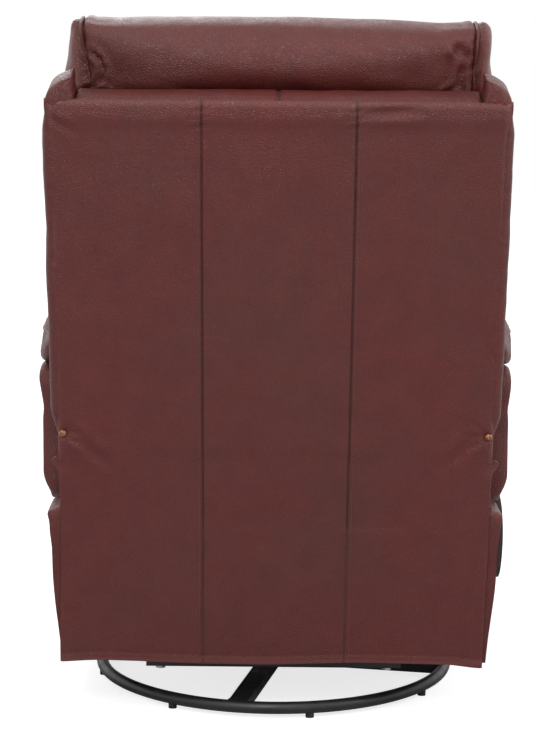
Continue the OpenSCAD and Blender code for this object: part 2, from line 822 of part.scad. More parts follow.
// Leather skirt below the back: one bent sheet whose top tucks behind the hem
module rear_flap() {
    tuck = skin_t + 2 * soft_gap + skin_t;
    bend = hem - flap_bend;
    foot_u = back_u(skin_v, body_z + arm_inset);
    color(leather) on_back() translate([-panel_w / 2, 0, 0]) rotate([90, 0, 90]) linear_extrude(panel_w)
        polygon([
            [skin_inner, foot_u], [skin_v, foot_u], [skin_v, bend - skin_t], [skin_v - tuck + skin_t / 2, bend + skin_t],
            [skin_v - tuck + skin_t / 2, flap_top], [skin_v - tuck - skin_t / 2, flap_top],
            [skin_v - tuck - skin_t / 2, bend], [skin_inner, bend - 2 * skin_t]]);
}

module lever_bushing() {
    outer = lever_shaft_d + 2 * bush_wall;
    color(felt) side_view(-ply_out) difference() {
        union() {
            translate([lever_y, lever_z, 0]) cylinder(d = outer, h = ply_t + bush_flange);
            translate([lever_y, lever_z, ply_t]) cylinder(d = outer + 2 * bush_wall, h = bush_flange);
        }
        hole([lever_y, lever_z], lever_shaft_d + 2 * fit, ply_t + bush_flange);
    }
}

// Shoes on the seat's pins: each fills its slot's width and has a flange outside it
module seat_shoes() {
    color(nylon) both_sides() side_view(chassis_x) for (p = shoes) difference() {
        union() {
            bar(p - shoe_half * track, p + shoe_half * track, shoe_w, plate_t + side_play);
            translate([0, 0, plate_t + side_play]) bar(p - shoe_half * track, p + shoe_half * track,
                shoe_w + 2 * shoe_flange_t, shoe_flange_t);
        }
        hole(p, pin_d + 2 * fit, plate_t + side_play + shoe_flange_t);
    }
}

// Steel seat plates: footrest pivot in front, shoe pins below, recline hinge behind
module seat_plates() {
    front = foot_pivot.x - pivot_rim;
    color(black_steel) both_sides() side_view(seat_plate_x) linear_extrude(plate_t) {
        polygon([
            [front, foot_pivot.y - pivot_rim], [shoes[0].x - link_w / 2, seat_plate_low],
            [shoes[1].x + link_w / 2, seat_plate_low], [hinge_y, hinge_z - hinge_boss_r],
            [hinge_y, hinge_z + hinge_boss_r], [seat_frame_rear, spring_z], [front, spring_z]]);
        translate([hinge_y, hinge_z]) circle(hinge_boss_r);
    }
}

// Four rails of the seat deck, glued where they meet
module seat_frame() {
    inner = seat_plate_x - seat_rail_t;
    color(timber) {
        for (y = [-seat_frame_front, seat_frame_rear - seat_rail_t]) translate([-seat_plate_x, y, seat_frame_z])
            cube([2 * seat_plate_x, seat_rail_t, seat_rail_h]);
        both_sides() translate([inner, seat_rail_t + weld_gap - seat_frame_front, seat_frame_z])
            cube([seat_rail_t, seat_frame_front + seat_frame_rear - 2 * (seat_rail_t + weld_gap), seat_rail_h]);
    }
}

// Sinuous springs from rail to rail, each a flat wave
module seat_springs() {
    run = seat_frame_front + seat_frame_rear;
    waves = 9;
    steps = waves * 12;
    pitch = 2 * seat_plate_x / spring_count;
    swing = pitch * 0.3;
    slope = swing * 2 * PI * waves / run;
    function wave(i, side) = let (a = 360 * waves * i / steps, tilt = atan(slope * cos(a)))
        [swing * sin(a) - side * cos(tilt) * spring_wire / 2, run * i / steps + side * sin(tilt) * spring_wire / 2];
    color(zinc) for (k = [0:spring_count - 1])
        translate([(k + 0.5) * pitch - seat_plate_x, -seat_frame_front, spring_z]) linear_extrude(spring_wire)
            polygon(concat([for (i = [0:steps]) wave(i, 1)], [for (i = [steps:-1:0]) wave(i, -1)]));
}

module seat_deck_pad() {
    color(felt) translate([-deck_pad_half, -seat_frame_front, deck_pad_z])
        cube([2 * deck_pad_half, seat_frame_front + seat_frame_rear - seat_rail_t, deck_pad_t]);
}

module seat_cushion() {
    color(leather) translate([0, seat_d / 2 - seat_nose_y, seat_z + seat_h / 2])
        cushion(seat_w, seat_d, seat_h, 3.5);
}

module seat_pins() {
    x = seat_plate_out;
    reach = bar_x2 + bar_t + side_play + rivet_head_t - x;
    shoe_collar = seat_plate_x - chassis_x - plate_t - 2 * side_play - shoe_flange_t;
    color(zinc) both_sides() {
        for (p = shoes) translate([seat_plate_x, p.x, p.y]) rotate([0, -90, 0]) {
            cylinder(d = pin_head_d, h = shoe_collar);
            cylinder(d = pin_d, h = seat_plate_x - chassis_x);
        }
        pin([hinge_y, hinge_z], x, 1);
        translate([x, foot_pivot.x, foot_pivot.y]) rotate([0, 90, 0]) {
            cylinder(d = rivet_head_d, h = collar_t);
            cylinder(d = rivet_d, h = reach);
            translate([0, 0, reach - rivet_head_t]) cylinder(d = rivet_head_d, h = rivet_head_t);
        }
    }
}

// Cranked steel brackets that carry the back frame on the hinge pins
module back_brackets() {
    half = bracket_w / 2;
    color(black_steel) both_sides() on_back() side_view(bracket_x) linear_extrude(plate_t) difference() {
        union() {
            circle(hinge_boss_r);
            polygon([[half, 0], [half - bracket_bend, back_foot - weld_gap],
                [-half - bracket_bend, back_foot - weld_gap], [-half, 0]]);
            translate([-half - bracket_bend, back_foot]) square([bracket_w, bracket_len - back_foot]);
        }
        circle(d = pin_d + 2 * fit);
    }
}

module back_stiles() {
    color(timber) both_sides() on_back() translate([stile_x, frame_front_v, back_foot])
        cube([stile_out - stile_x, frame_depth, frame_top - back_foot]);
}

rail_places = [back_foot, (back_foot + frame_top - back_rail_h) / 2, frame_top - back_rail_h];

module back_rails() {
    color(timber) on_back() for (u = rail_places) difference() {
        translate([-stile_x, frame_front_v, u]) cube([2 * stile_x, back_rail_t, back_rail_h]);
        both_sides() translate([bracket_x - soft_gap, frame_front_v - overrun, back_foot - overrun])
            cube([plate_t + soft_gap + overrun, back_rail_t + 2 * overrun, bracket_len - back_foot + bracket_w]);
    }
}

// Straps across the frame, and three upright straps woven in front of them
module back_webbing() {
    strap_count = 5;
    half = bracket_x - 2 * soft_gap;
    rise = frame_top - back_foot;
    color(felt) on_back() {
        for (i = [0:strap_count - 1])
            translate([-half, frame_front_v - strap_t, back_foot + (i + 0.5) * rise / strap_count - strap_w / 2])
                cube([2 * half, strap_t, strap_w]);
        for (x = [-seam_x, 0, seam_x]) translate([x - strap_w / 2, frame_front_v - 2 * strap_t, back_foot])
            cube([strap_w, strap_t, rise]);
    }
}

// Rear leather in three joined widths, with a groove at each seam
module back_outer_panel() {
    color(leather) on_back() difference() {
        translate([-panel_w / 2, skin_inner, hem]) cube([panel_w, skin_t, back_top - hem]);
        for (x = [-seam_x, seam_x]) translate([x - seam_w / 2, skin_v - seam_depth, hem - overrun])
            cube([seam_w, seam_depth + overrun, back_top - hem + 2 * overrun]);
        for (x = [-nail_x, nail_x]) translate([x, skin_inner - overrun, nail_rise]) rotate([-90, 0, 0])
            cylinder(d = nail_d / 4 + 2 * fit, h = skin_t + 2 * overrun);
    }
}

module back_top_band() {
    color(leather) on_back() translate([-stile_out, frame_front_v, frame_top + soft_gap])
        cube([2 * stile_out, skin_inner - soft_gap - frame_front_v, skin_t]);
}

// Padded wings; the front edge falls back behind the head pillow into a hump
module back_wings() {
    rear = frame_rear_v;
    middle = wing_x + wing_t / 2;
    // Height share between the neck and the hump, reach share, thickness share
    neck = pillow_foot - 2 * soft_gap;
    hump_front = frame_front_v + soft_gap;
    tall = neck - back_foot;
    reach_shares = [[0, 0.5, 0.4], [0, 0.85, 0.8], [0.02, 0.97, 0.94], [0.06, 1, 1], [0.45, 1, 1],
        [0.84, 1, 1], [0.93, 0.86, 0.98], [0.975, 0.62, 0.96]];
    span = rear + wing_reach;
    low = [for (s = reach_shares) let (reach = span * s[1])
        [back_foot + tall * s[0], middle, rear - reach / 2, wing_t / 2 * s[2], reach / 2]];
    hump_shares = [[0, 1, 0.95], [0.5, 1, 0.94], [0.8, 0.9, 0.86], [0.95, 0.66, 0.66], [1, 0.3, 0.3]];
    hump_span = rear - hump_front;
    high = [for (s = hump_shares) [neck + (wing_top - neck) * s[0], middle, rear - hump_span / 2,
        wing_t / 2 * s[2], hump_span / 2 * s[1]]];
    foot_end = [back_foot, middle, rear - span / 2, 0, 0];
    top_end = [wing_top, middle, rear - hump_span / 2, 0, 0];
    color(leather) both_sides() on_back() loft(concat([foot_end], low, high, [top_end]));
}

// Cushion of the back from height a to height b along it
module back_cushion(w, a, b, roundness) {
    on_back() translate([0, back_pad_rear - back_pad_t / 2, (a + b) / 2]) rotate([90, 0, 0])
        cushion(w, b - a, back_pad_t, roundness);
}

module back_lower_cushion() {
    color(leather) back_cushion(seat_w, pad_foot, pad_split - soft_gap, 3.2);
}

module back_upper_cushion() {
    color(leather) back_cushion(2 * stile_out, pad_split, pillow_foot - soft_gap, 3.2);
}

module head_pillow() {
    color(leather) back_cushion(pillow_w, pillow_foot, pillow_top, 2.6);
}

// Domed nails that hold the outer panel's lower corners
module back_nails() {
    dome = nail_d / 3;
    dome_r = (pow(nail_d / 2, 2) + pow(dome, 2)) / (2 * dome);
    color(copper) on_back() for (x = [-nail_x, nail_x]) translate([x, skin_v, nail_rise]) rotate([-90, 0, 0]) {
        intersection() {
            translate([0, 0, dome - dome_r]) sphere(dome_r);
            cylinder(d = nail_d, h = dome + overrun);
        }
        translate([0, 0, -skin_t]) cylinder(d = nail_d / 4, h = skin_t + dome / 2);
    }
}

// Footrest bar from p to q in layer x, with running bores
module foot_bar(p, q, x, bores) {
    side_view(x) difference() {
        bar(p, q, bar_w, bar_t);
        for (c = bores) hole(c, rivet_d + 2 * fit, bar_t);
    }
}

// Rivet on a bar's face at x, through layers that end at far, towards side
module rivet(p, x, far, side) {
    reach = abs(far - x) + side_play + rivet_head_t;
    translate([x, p.x, p.y]) rotate([0, 90 * side, 0]) {
        cylinder(d = rivet_head_d, h = rivet_collar);
        cylinder(d = rivet_d, h = reach);
        translate([0, 0, reach - rivet_head_t]) cylinder(d = rivet_head_d, h = rivet_head_t);
    }
}

bar_out1 = bar_x1 + bar_t;
bar_out2 = bar_x2 + bar_t;

module footrest_link_a() {
    color(zinc) both_sides() {
        foot_bar(centre(0), upper(1), bar_x1, [centre(0)]);
        rivet(upper(1), bar_out1, bar_out2, 1);
    }
}

module footrest_link_b() {
    color(zinc) both_sides() {
        foot_bar(upper(1), lower(3), bar_x2, [upper(1)]);
        rivet(centre(2), bar_x2, bar_x1, -1);
        rivet(lower(3), bar_x2, bar_x1, -1);
    }
}

module footrest_link_c() {
    color(zinc) both_sides() {
        foot_bar(centre(0), lower(1), bar_x2, [centre(0)]);
        rivet(lower(1), bar_x2, bar_x1, -1);
    }
}

module footrest_link_d() {
    color(zinc) both_sides() {
        foot_bar(lower(1), upper(3), bar_x1, [lower(1), centre(2)]);
        rivet(upper(3), bar_out1, bar_out2, 1);
    }
}

module footrest_link_e() {
    color(zinc) both_sides() {
        foot_bar(upper(3), centre(4), bar_x2, [upper(3)]);
        rivet(centre(4), bar_x2, foot_bracket_x, -1);
    }
}

module footrest_link_f() {
    color(zinc) both_sides() foot_bar(lower(3), centre(4), bar_x1, [lower(3), centre(4)]);
}

// Brackets between the last rivets and the footrest board
module footrest_brackets() {
    p = centre(4);
    color(black_steel) both_sides() {
        side_view(foot_bracket_x) difference() {
            union() {
                bar([board_y + bar_w / 2, p.y], p, bar_w, bar_t);
                translate([board_y, p.y - foot_bracket_h / 2, 0]) cube([bar_w, foot_bracket_h, bar_t]);
            }
            hole(p, rivet_d + 2 * fit, bar_t);
        }
        translate([foot_bracket_x - foot_bracket_h / 2, board_y, p.y - foot_bracket_h / 2])
            cube([foot_bracket_h / 2, bar_t, foot_bracket_h]);
    }
}

module footrest_board() {
    edge = layer_gap;
    color(timber) translate([edge - footrest_w / 2, board_y - board_t, footrest_z + edge])
        cube([footrest_w - 2 * edge, board_t, footrest_h - 2 * edge]);
}

module footrest_pad() {
    color(leather) translate([0, footrest_pad_t / 2 - footrest_front, footrest_z + footrest_h / 2])
        rotate([90, 0, 0]) cushion(footrest_w, footrest_h, footrest_pad_t, 3.5);
}

module lever_shaft() {
    inner = chassis_x;
    outer = lever_x - paddle_t - paddle_bow;
    color(zinc) side_view(-outer) translate([lever_y, lever_z, 0])
        cylinder(d = lever_shaft_d, h = outer - inner);
}

// Bowed paddle on the shaft's outer end, with a boss
module lever_handle() {
    low = lever_z - paddle_w / 2;
    mid = low + paddle_len / 2;
    inner = lever_x - paddle_t - paddle_bow;
    color(black_steel) difference() {
        union() {
            intersection() {
                translate([paddle_r - lever_x, lever_y + paddle_w, mid]) rotate([90, 0, 0]) difference() {
                    cylinder(r = paddle_r, h = 2 * paddle_w, $fn = 192);
                    translate([0, 0, -overrun])
                        cylinder(r = paddle_r - paddle_t, h = 2 * paddle_w + 2 * overrun, $fn = 192);
                }
                side_view(-lever_x - overrun) bar([lever_y, lever_z], [lever_y, low + paddle_len - paddle_w / 2],
                    paddle_w, paddle_t + paddle_bow + 2 * overrun);
            }
            side_view(-inner - paddle_t / 2) translate([lever_y, lever_z, 0])
                cylinder(d = boss_d, h = inner + paddle_t / 2 - side_x - 2 * side_play);
        }
        side_view(-inner) translate([lever_y, lever_z, 0]) cylinder(d = lever_shaft_d, h = inner);
    }
}

base_ring();
base_spokes();
base_hub_plate();
base_feet();
bearing_lower_race();
bearing_balls();
kingpin();
bearing_upper_race();
turntable_plate();
turntable_long_tubes();
turntable_cross_tubes();
glide_posts();
glide_upper_pins();
turntable_bolts();
glide_front_links();
glide_rear_links();
chassis_plates();
chassis_cross_tubes();
chassis_pins();
front_rail();
rear_rail();
arm_frames();
arm_inner_pads();
arm_side_panels();
arm_bolsters();
arm_pillows();
arm_front_panels();
chassis_bolts();
rear_flap();
lever_bushing();
seat_plates();
seat_frame();
seat_springs();
seat_deck_pad();
seat_cushion();
seat_pins();
seat_shoes();
back_brackets();
back_stiles();
back_rails();
back_webbing();
back_outer_panel();
back_top_band();
back_wings();
back_lower_cushion();
back_upper_cushion();
head_pillow();
back_nails();
footrest_link_a();
footrest_link_b();
footrest_link_c();
footrest_link_d();
footrest_link_e();
footrest_link_f();
footrest_brackets();
footrest_board();
footrest_pad();
lever_shaft();
lever_handle();
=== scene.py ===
"""Leather swivel glider recliner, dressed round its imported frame."""

import json
import math

import bmesh
import bpy
import numpy as np
from bpy.props import FloatProperty, FloatVectorProperty, IntProperty, PointerProperty
from mathutils import Matrix, Vector
from mathutils.bvhtree import BVHTree


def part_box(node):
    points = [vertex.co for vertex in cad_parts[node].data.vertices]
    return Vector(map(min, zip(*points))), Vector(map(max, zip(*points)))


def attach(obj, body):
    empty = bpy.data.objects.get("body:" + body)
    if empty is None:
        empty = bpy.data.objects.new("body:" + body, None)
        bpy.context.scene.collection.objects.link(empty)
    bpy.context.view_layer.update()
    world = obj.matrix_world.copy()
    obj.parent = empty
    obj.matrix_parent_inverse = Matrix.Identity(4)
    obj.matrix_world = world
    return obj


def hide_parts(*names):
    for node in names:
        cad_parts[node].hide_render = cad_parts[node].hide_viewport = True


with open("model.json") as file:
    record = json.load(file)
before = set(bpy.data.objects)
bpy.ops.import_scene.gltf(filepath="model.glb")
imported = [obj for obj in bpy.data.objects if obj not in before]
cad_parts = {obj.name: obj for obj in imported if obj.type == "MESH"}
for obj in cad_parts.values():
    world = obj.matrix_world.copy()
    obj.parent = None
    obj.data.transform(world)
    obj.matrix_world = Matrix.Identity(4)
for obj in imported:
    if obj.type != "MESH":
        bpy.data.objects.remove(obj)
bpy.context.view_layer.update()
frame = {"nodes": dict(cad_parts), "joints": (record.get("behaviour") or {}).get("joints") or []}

bl_info = {
    "name": "Swivel glider recliner",
    "version": (1, 0, 0),
    "blender": (4, 5, 0),
    "location": "View3D > Sidebar > Recliner",
    "description": "Leather, cushions, seams and stage of a swivel glider recliner",
    "category": "Add Mesh",
}

RECLINE_PLACE = next(joint["pos_m"] for joint in frame["joints"] if joint["name"] == "recline")
WHITE = (1, 1, 1, 1)


# Settings


class RECLINER_PG_leather(bpy.types.PropertyGroup):
    """Dye, grain and sheen of the leather, and the colour of its painted highlight"""

    red: FloatVectorProperty(name="Red dye", description="Colour of the redder patches",
        default=(0.118, 0.0162, 0.0142), size=3, min=0, max=1, subtype="COLOR")
    brown: FloatVectorProperty(name="Brown dye", description="Colour of the browner patches",
        default=(0.099, 0.0208, 0.0165), size=3, min=0, max=1, subtype="COLOR")
    # Painted highlight: a paler tint laid on the panel's edges, the flap's hem and the head roll's ends, standing in
    # for their reflection of the bright room.
    worn: FloatVectorProperty(name="Painted highlight", description="Colour of the highlight painted on edges, lips and ends",
        default=(0.20, 0.075, 0.065), size=3, min=0, max=1, subtype="COLOR")
    grain: FloatProperty(name="Grain size", description="Width of one pebble of the grain",
        default=0.0029, min=0.001, max=0.01, unit="LENGTH")
    roughness: FloatProperty(name="Roughness", description="How dull the finish is",
        default=0.34, min=0, max=1, subtype="FACTOR")


class RECLINER_PG_back(bpy.types.PropertyGroup):
    """Leather on the rear of the back"""

    lean: FloatProperty(name="Lean", description="Lean of the back from upright at rest",
        default=math.radians(12.6), min=0, max=0.6, unit="ROTATION")
    seam_x: FloatProperty(name="Seam place", description="Distance of the two upright seams from the middle",
        default=0.1075, min=0.05, max=0.2, unit="LENGTH")
    bulge: FloatProperty(name="Wing bulge", description="How far the wings' padding stands out sideways",
        default=0.0075, min=0, max=0.012, unit="LENGTH")
    wave: FloatProperty(name="Hem wave", description="Swing of the flap's free hem",
        default=0.004, min=0, max=0.02, unit="LENGTH")


class RECLINER_PG_stuffing(bpy.types.PropertyGroup):
    """Filling of the cushions"""

    pressure: FloatProperty(name="Pressure", description="Air pressure that swells a cushion's skin",
        default=4.0, min=0, max=20)
    frames: IntProperty(name="Frames", description="Steps that the swelling takes", default=12, min=2, max=40)
    cell: FloatProperty(name="Cell", description="Size of a cushion's mesh cells",
        default=0.0075, min=0.003, max=0.02, unit="LENGTH")


class RECLINER_PG_seams(bpy.types.PropertyGroup):
    """Stitches and piping"""

    pitch: FloatProperty(name="Stitch pitch", description="Distance from stitch to stitch",
        default=0.0052, min=0.002, max=0.02, unit="LENGTH")
    stitch: FloatProperty(name="Stitch length", description="Length of one stitch",
        default=0.0036, min=0.001, max=0.02, unit="LENGTH")
    thread: FloatProperty(name="Thread", description="Thickness of the thread",
        default=0.0008, min=0.0003, max=0.003, unit="LENGTH")
    piping: FloatProperty(name="Piping", description="Thickness of the piping",
        default=0.0055, min=0.002, max=0.012, unit="LENGTH")


class RECLINER_PG_stage(bpy.types.PropertyGroup):
    """Camera and light"""

    distance: FloatProperty(name="Distance", description="Distance of the camera behind the chair",
        default=3.5, min=1, max=10, unit="LENGTH")
    height: FloatProperty(name="Height", description="Height of the camera above the floor",
        default=1.0152, min=0.1, max=4, unit="LENGTH")
    pitch: FloatProperty(name="Pitch", description="How far the camera looks down",
        default=math.radians(8.47), min=-1, max=1.5, unit="ROTATION")
    turn: FloatProperty(name="Turn", description="How far the camera turns to its left",
        default=math.radians(0.216), min=-0.5, max=0.5, unit="ROTATION")
    roll: FloatProperty(name="Roll", description="How far the camera tilts to its left",
        default=math.radians(0.49), min=-0.5, max=0.5, unit="ROTATION")
    lens: FloatProperty(name="Lens", description="Focal length in millimetres",
        default=105.7, min=20, max=300)
    base_turn: FloatProperty(name="Base turn",
        description="How far the spokes stand turned from the chair's axes, in degrees",
        default=11.0, min=0, max=90)
    ambient: FloatProperty(name="Ambient", description="Level of the light from all round",
        default=0.90, min=0, max=2)


GROUPS = {
    "leather": RECLINER_PG_leather,
    "back": RECLINER_PG_back,
    "stuffing": RECLINER_PG_stuffing,
    "seams": RECLINER_PG_seams,
    "stage": RECLINER_PG_stage,
}


def setting(group):
    """One of this file's groups of settings on the scene."""
    return getattr(bpy.context.scene, "recliner_" + group)


# Points and meshes


def coords(mesh):
    """A mesh's vertices as rows of x, y, z."""
    points = np.empty(len(mesh.vertices) * 3, np.float32)
    mesh.vertices.foreach_get("co", points)
    return points.reshape(-1, 3).astype(float)


def normals(mesh):
    """A mesh's vertex normals as rows."""
    found = np.empty(len(mesh.vertices) * 3, np.float32)
    mesh.vertex_normals.foreach_get("vector", found)
    return found.reshape(-1, 3).astype(float)


def set_coords(mesh, points):
    """Moves a mesh's vertices."""
    mesh.vertices.foreach_set("co", np.asarray(points, np.float32).ravel())
    mesh.update()


def placed(points, place):
    """Points carried from a place's own axes into the frame's."""
    matrix = np.array(place)
    return np.asarray(points, float) @ matrix[:3, :3].T + matrix[:3, 3]


def back_place():
    """Axes of the back at rest: x across, y rearward out of it, z up along it."""
    return Matrix.Translation(RECLINE_PLACE) @ Matrix.Rotation(-setting("back").lean, 4, "X")


def seen_from(place, piece):
    """A piece's vertices in the axes of a place."""
    return placed(coords(piece.data), place.inverted())


def extent(node, place):
    """Lowest and highest corner of a CAD node in the axes of a place."""
    points = seen_from(place, frame["nodes"][node])
    return points.min(0), points.max(0)


def ripple(points, size, seed):
    """Soft random swell from -1 to 1 whose waves are about size long."""
    draw = np.random.default_rng(seed)
    total = np.zeros(len(points))
    for _ in range(14):
        way = draw.normal(size=3)
        way *= 2 * math.pi / size * draw.uniform(0.6, 1.5) / np.linalg.norm(way)
        total += np.sin(points @ way + draw.uniform(0, 2 * math.pi))
    return total / 4.5


def fold(points, start, end, width, depth, lip=0.6):
    """Height of a crease that runs from start to end: a groove with a raised lip on each side."""
    start, end = np.array(start, float), np.array(end, float)
    along = end - start
    share = np.clip((points - start) @ along / (along @ along), 0, 1)
    gap = np.linalg.norm(points - start - share[:, None] * along, axis=1) / width
    fade = np.sin(math.pi * np.clip(share * 0.9 + 0.05, 0, 1)) ** 0.6
    return depth * fade * (lip * np.exp(-((gap - 1.7) ** 2)) - np.exp(-(gap ** 2)))


def bell(value, width):
    """1 where a value is 0, falling softly to 0 beyond a width."""
    return np.exp(-((value / width) ** 2))


def ramp(low, high, value):
    """0 below low, 1 above high, and a soft rise between them."""
    share = np.clip((value - low) / (high - low), 0, 1)
    return share * share * (3 - 2 * share)


def round_off(share):
    """How far a quarter round has fallen at a share of its width."""
    return 1 - np.sqrt(1 - share ** 2 * 0.999)


def eased(mesh, rounds):
    """Vertices of a mesh after rounds of averaging with their neighbours."""
    edges = np.empty(len(mesh.edges) * 2, np.int32)
    mesh.edges.foreach_get("vertices", edges)
    a, b = edges.reshape(-1, 2).T
    points = coords(mesh)
    count = np.maximum(np.bincount(np.concatenate([a, b]), minlength=len(points)), 1)[:, None]
    for _ in range(rounds):
        mean = np.empty_like(points)
        for axis in range(3):
            mean[:, axis] = np.bincount(a, points[b, axis], len(points)) + np.bincount(b, points[a, axis], len(points))
        points += (mean / count - points) / 2
    return points


def mark(piece, name, values, most):
    """Stores one number for each vertex, for a material to read."""
    attribute = piece.data.attributes.new(name, "FLOAT", "POINT")
    attribute.data.foreach_set("value", np.clip(values, 0, most).astype(np.float32))


def new_object(name, data):
    """An object at the origin for a mesh, a lamp or the camera."""
    made = bpy.data.objects.new(name, data)
    bpy.context.scene.collection.objects.link(made)
    return made


def settle(piece):
    """Turns a piece and its modifiers into one plain mesh."""
    bpy.context.view_layer.update()
    graph = bpy.context.evaluated_depsgraph_get()
    mesh = bpy.data.meshes.new_from_object(piece.evaluated_get(graph))
    old = piece.data
    piece.modifiers.clear()
    piece.data = mesh
    mesh.name = piece.name
    bpy.data.meshes.remove(old)
    return piece


def bevelled(piece, width, segments, angle):
    """A piece with its edges softened."""
    edge = piece.modifiers.new("Edge", "BEVEL")
    edge.width, edge.segments, edge.limit_method, edge.angle_limit = width, segments, "ANGLE", math.radians(angle)
    return settle(piece)


def shell(name, place, shape, across, outside, inside, upward):
    """A thin closed piece between two grids of points in a place's axes, with its normals outward."""
    outer, inner = (placed(np.stack([across, depth, upward], 1), place) for depth in (outside, inside))
    a = np.arange(len(outer)).reshape(shape)
    b = a + a.size

    def quads(*corners):
        return np.stack([corner.ravel() for corner in corners], 1).tolist()

    faces = quads(a[:-1, :-1], a[:-1, 1:], a[1:, 1:], a[1:, :-1])
    faces += quads(b[:-1, :-1], b[1:, :-1], b[1:, 1:], b[:-1, 1:])
    for end in (0, -1):
        faces += quads(a[:-1, end], a[1:, end], b[1:, end], b[:-1, end])
        faces += quads(a[end, :-1], b[end, :-1], b[end, 1:], a[end, 1:])
    mesh = bpy.data.meshes.new(name)
    mesh.from_pydata(np.vstack([outer, inner]).tolist(), [], faces)
    work = bmesh.new()
    work.from_mesh(mesh)
    bmesh.ops.remove_doubles(work, verts=work.verts, dist=1e-6)
    bmesh.ops.recalc_face_normals(work, faces=work.faces)
    work.to_mesh(mesh)
    work.free()
    return new_object(name, mesh)


def copied(name, node):
    """An object with a merged copy of a CAD node's mesh."""
    work = bmesh.new()
    work.from_mesh(frame["nodes"][node].data)
    bmesh.ops.remove_doubles(work, verts=work.verts, dist=1e-5)
    mesh = bpy.data.meshes.new(name)
    work.to_mesh(mesh)
    work.free()
    return new_object(name, mesh)


def skin(name, node, cell, rounds):
    """A closed leather skin over a CAD node, in even cells, with its edges eased."""
    piece = copied(name, node)
    cells = piece.modifiers.new("Cells", "REMESH")
    cells.mode = "VOXEL"
    cells.voxel_size = cell
    settle(piece)
    set_coords(piece.data, eased(piece.data, rounds))
    return piece


def dress(piece, body, slot, node, sharp=60):
    """Finishes a piece: the material of a slot, smooth shading, its body, and hiding the node it stands for."""
    piece.data.materials.append(finish(slot))
    piece.data.shade_smooth()
    piece.data.set_sharp_from_angle(angle=math.radians(sharp))
    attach(piece, body)
    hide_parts(node)


def push(piece, heights):
    """Moves each vertex along its normal."""
    set_coords(piece.data, coords(piece.data) + normals(piece.data) * np.asarray(heights)[:, None])


def ray_tree(piece):
    """A tree that finds where rays meet a piece."""
    return BVHTree.FromPolygons([v.co for v in piece.data.vertices], [p.vertices for p in piece.data.polygons])


def loop_round(piece, centre, across, upward, reach, count=240):
    """Points where a ring of rays from outside first meets a piece, in the plane of two directions."""
    tree = ray_tree(piece)
    found = []
    for k in range(count):
        angle = 2 * math.pi * k / count
        way = (Vector(across) * math.cos(angle) + Vector(upward) * math.sin(angle)).normalized()
        hit = tree.ray_cast(Vector(centre) + way * reach, -way, reach)[0]
        if hit is not None:
            found.append(tuple(hit))
    return evened(np.array(found))


def evened(points, step=0.004):
    """A closed path's points set at even steps along it, and eased a little."""
    ring = np.vstack([points, points[:1]])
    way = np.concatenate([[0], np.cumsum(np.linalg.norm(np.diff(ring, axis=0), axis=1))])
    at = np.linspace(0, way[-1], max(int(way[-1] / step), 4), endpoint=False)
    out = np.stack([np.interp(at, way, ring[:, axis]) for axis in range(3)], 1)
    for _ in range(4):
        out = (out + (np.roll(out, 1, 0) + np.roll(out, -1, 0)) / 2) / 2
    return out


def on_surface(piece, points, way, lift=0.0001):
    """A path laid on a piece by rays that fall along a direction."""
    tree = ray_tree(piece)
    hits = [tree.ray_cast(Vector(point) - way * 0.1, way, 0.3)[0] for point in points]
    return np.array([tuple(hit - way * lift) for hit in hits if hit is not None])


# Nodes, and trees of them that set stitches, piping and welds along paths


def add_node(tree, kind, inputs=None, **values):
    """A node in a tree, with its values set and its inputs linked or set."""
    node = tree.nodes.new(kind)
    for key, value in values.items():
        setattr(node, key, value)
    for key, value in (inputs or {}).items():
        if isinstance(value, bpy.types.NodeSocket):
            tree.links.new(value, node.inputs[key])
        else:
            node.inputs[key].default_value = value
    return node


def path_tree(name, kind):
    """A tree that turns paths into stitches, piping or weld beads."""
    tree = bpy.data.node_groups.new(name, "GeometryNodeTree")
    tree.is_modifier = True
    for label, socket in (("Geometry", "Geometry"), ("Pitch", "Float"), ("Length", "Float"), ("Thickness", "Float"),
            ("Material", "Material")):
        tree.interface.new_socket(label, in_out="INPUT", socket_type="NodeSocket" + socket)
    tree.interface.new_socket("Geometry", in_out="OUTPUT", socket_type="NodeSocketGeometry")

    def put(kind, inputs=None, **values):
        return add_node(tree, kind, inputs, **values).outputs

    given = put("NodeGroupInput")
    curve = put("GeometryNodeMeshToCurve", {0: given["Geometry"]})[0]
    half = put("ShaderNodeMath", {0: given["Thickness"], 1: 0.5}, operation="MULTIPLY")[0]
    if kind == "piping":
        circle = put("GeometryNodeCurvePrimitiveCircle", {"Resolution": 10, "Radius": half})[0]
        shape = put("GeometryNodeCurveToMesh", {"Curve": curve, "Profile Curve": circle, "Fill Caps": True})[0]
    else:
        least, most = (0.92, 1.06) if kind == "stitch" else (0.8, 1.15)
        step = put("GeometryNodeResampleCurve", {"Curve": curve, "Length": given["Pitch"]}, mode="LENGTH")[0]
        spots = put("GeometryNodeCurveToPoints", {"Curve": step}, mode="EVALUATED")
        bead = put("GeometryNodeMeshUVSphere", {"Segments": 8, "Rings": 6, "Radius": half})["Mesh"]
        ratio = put("ShaderNodeMath", {0: given["Length"], 1: given["Thickness"]}, operation="DIVIDE")[0]
        vary = put("FunctionNodeRandomValue", {"Min": least, "Max": most, "Seed": 7}, data_type="FLOAT")["Value"]
        long = put("ShaderNodeMath", {0: ratio, 1: vary}, operation="MULTIPLY")[0]
        wide = 1 if kind == "stitch" else vary
        size = put("ShaderNodeCombineXYZ", {0: wide, 1: wide, 2: long})[0]
        turn = put("FunctionNodeAlignRotationToVector", {"Vector": spots["Tangent"]}, axis="Z")["Rotation"]
        shape = put("GeometryNodeInstanceOnPoints",
            {"Points": spots["Points"], "Instance": bead, "Rotation": turn, "Scale": size})[0]
    real = put("GeometryNodeRealizeInstances", {0: shape})[0]
    soft = put("GeometryNodeSetShadeSmooth", {0: real})[0]
    paint = put("GeometryNodeSetMaterial", {"Geometry": soft, "Material": given["Material"]})[0]
    put("NodeGroupOutput", {0: paint})
    return tree


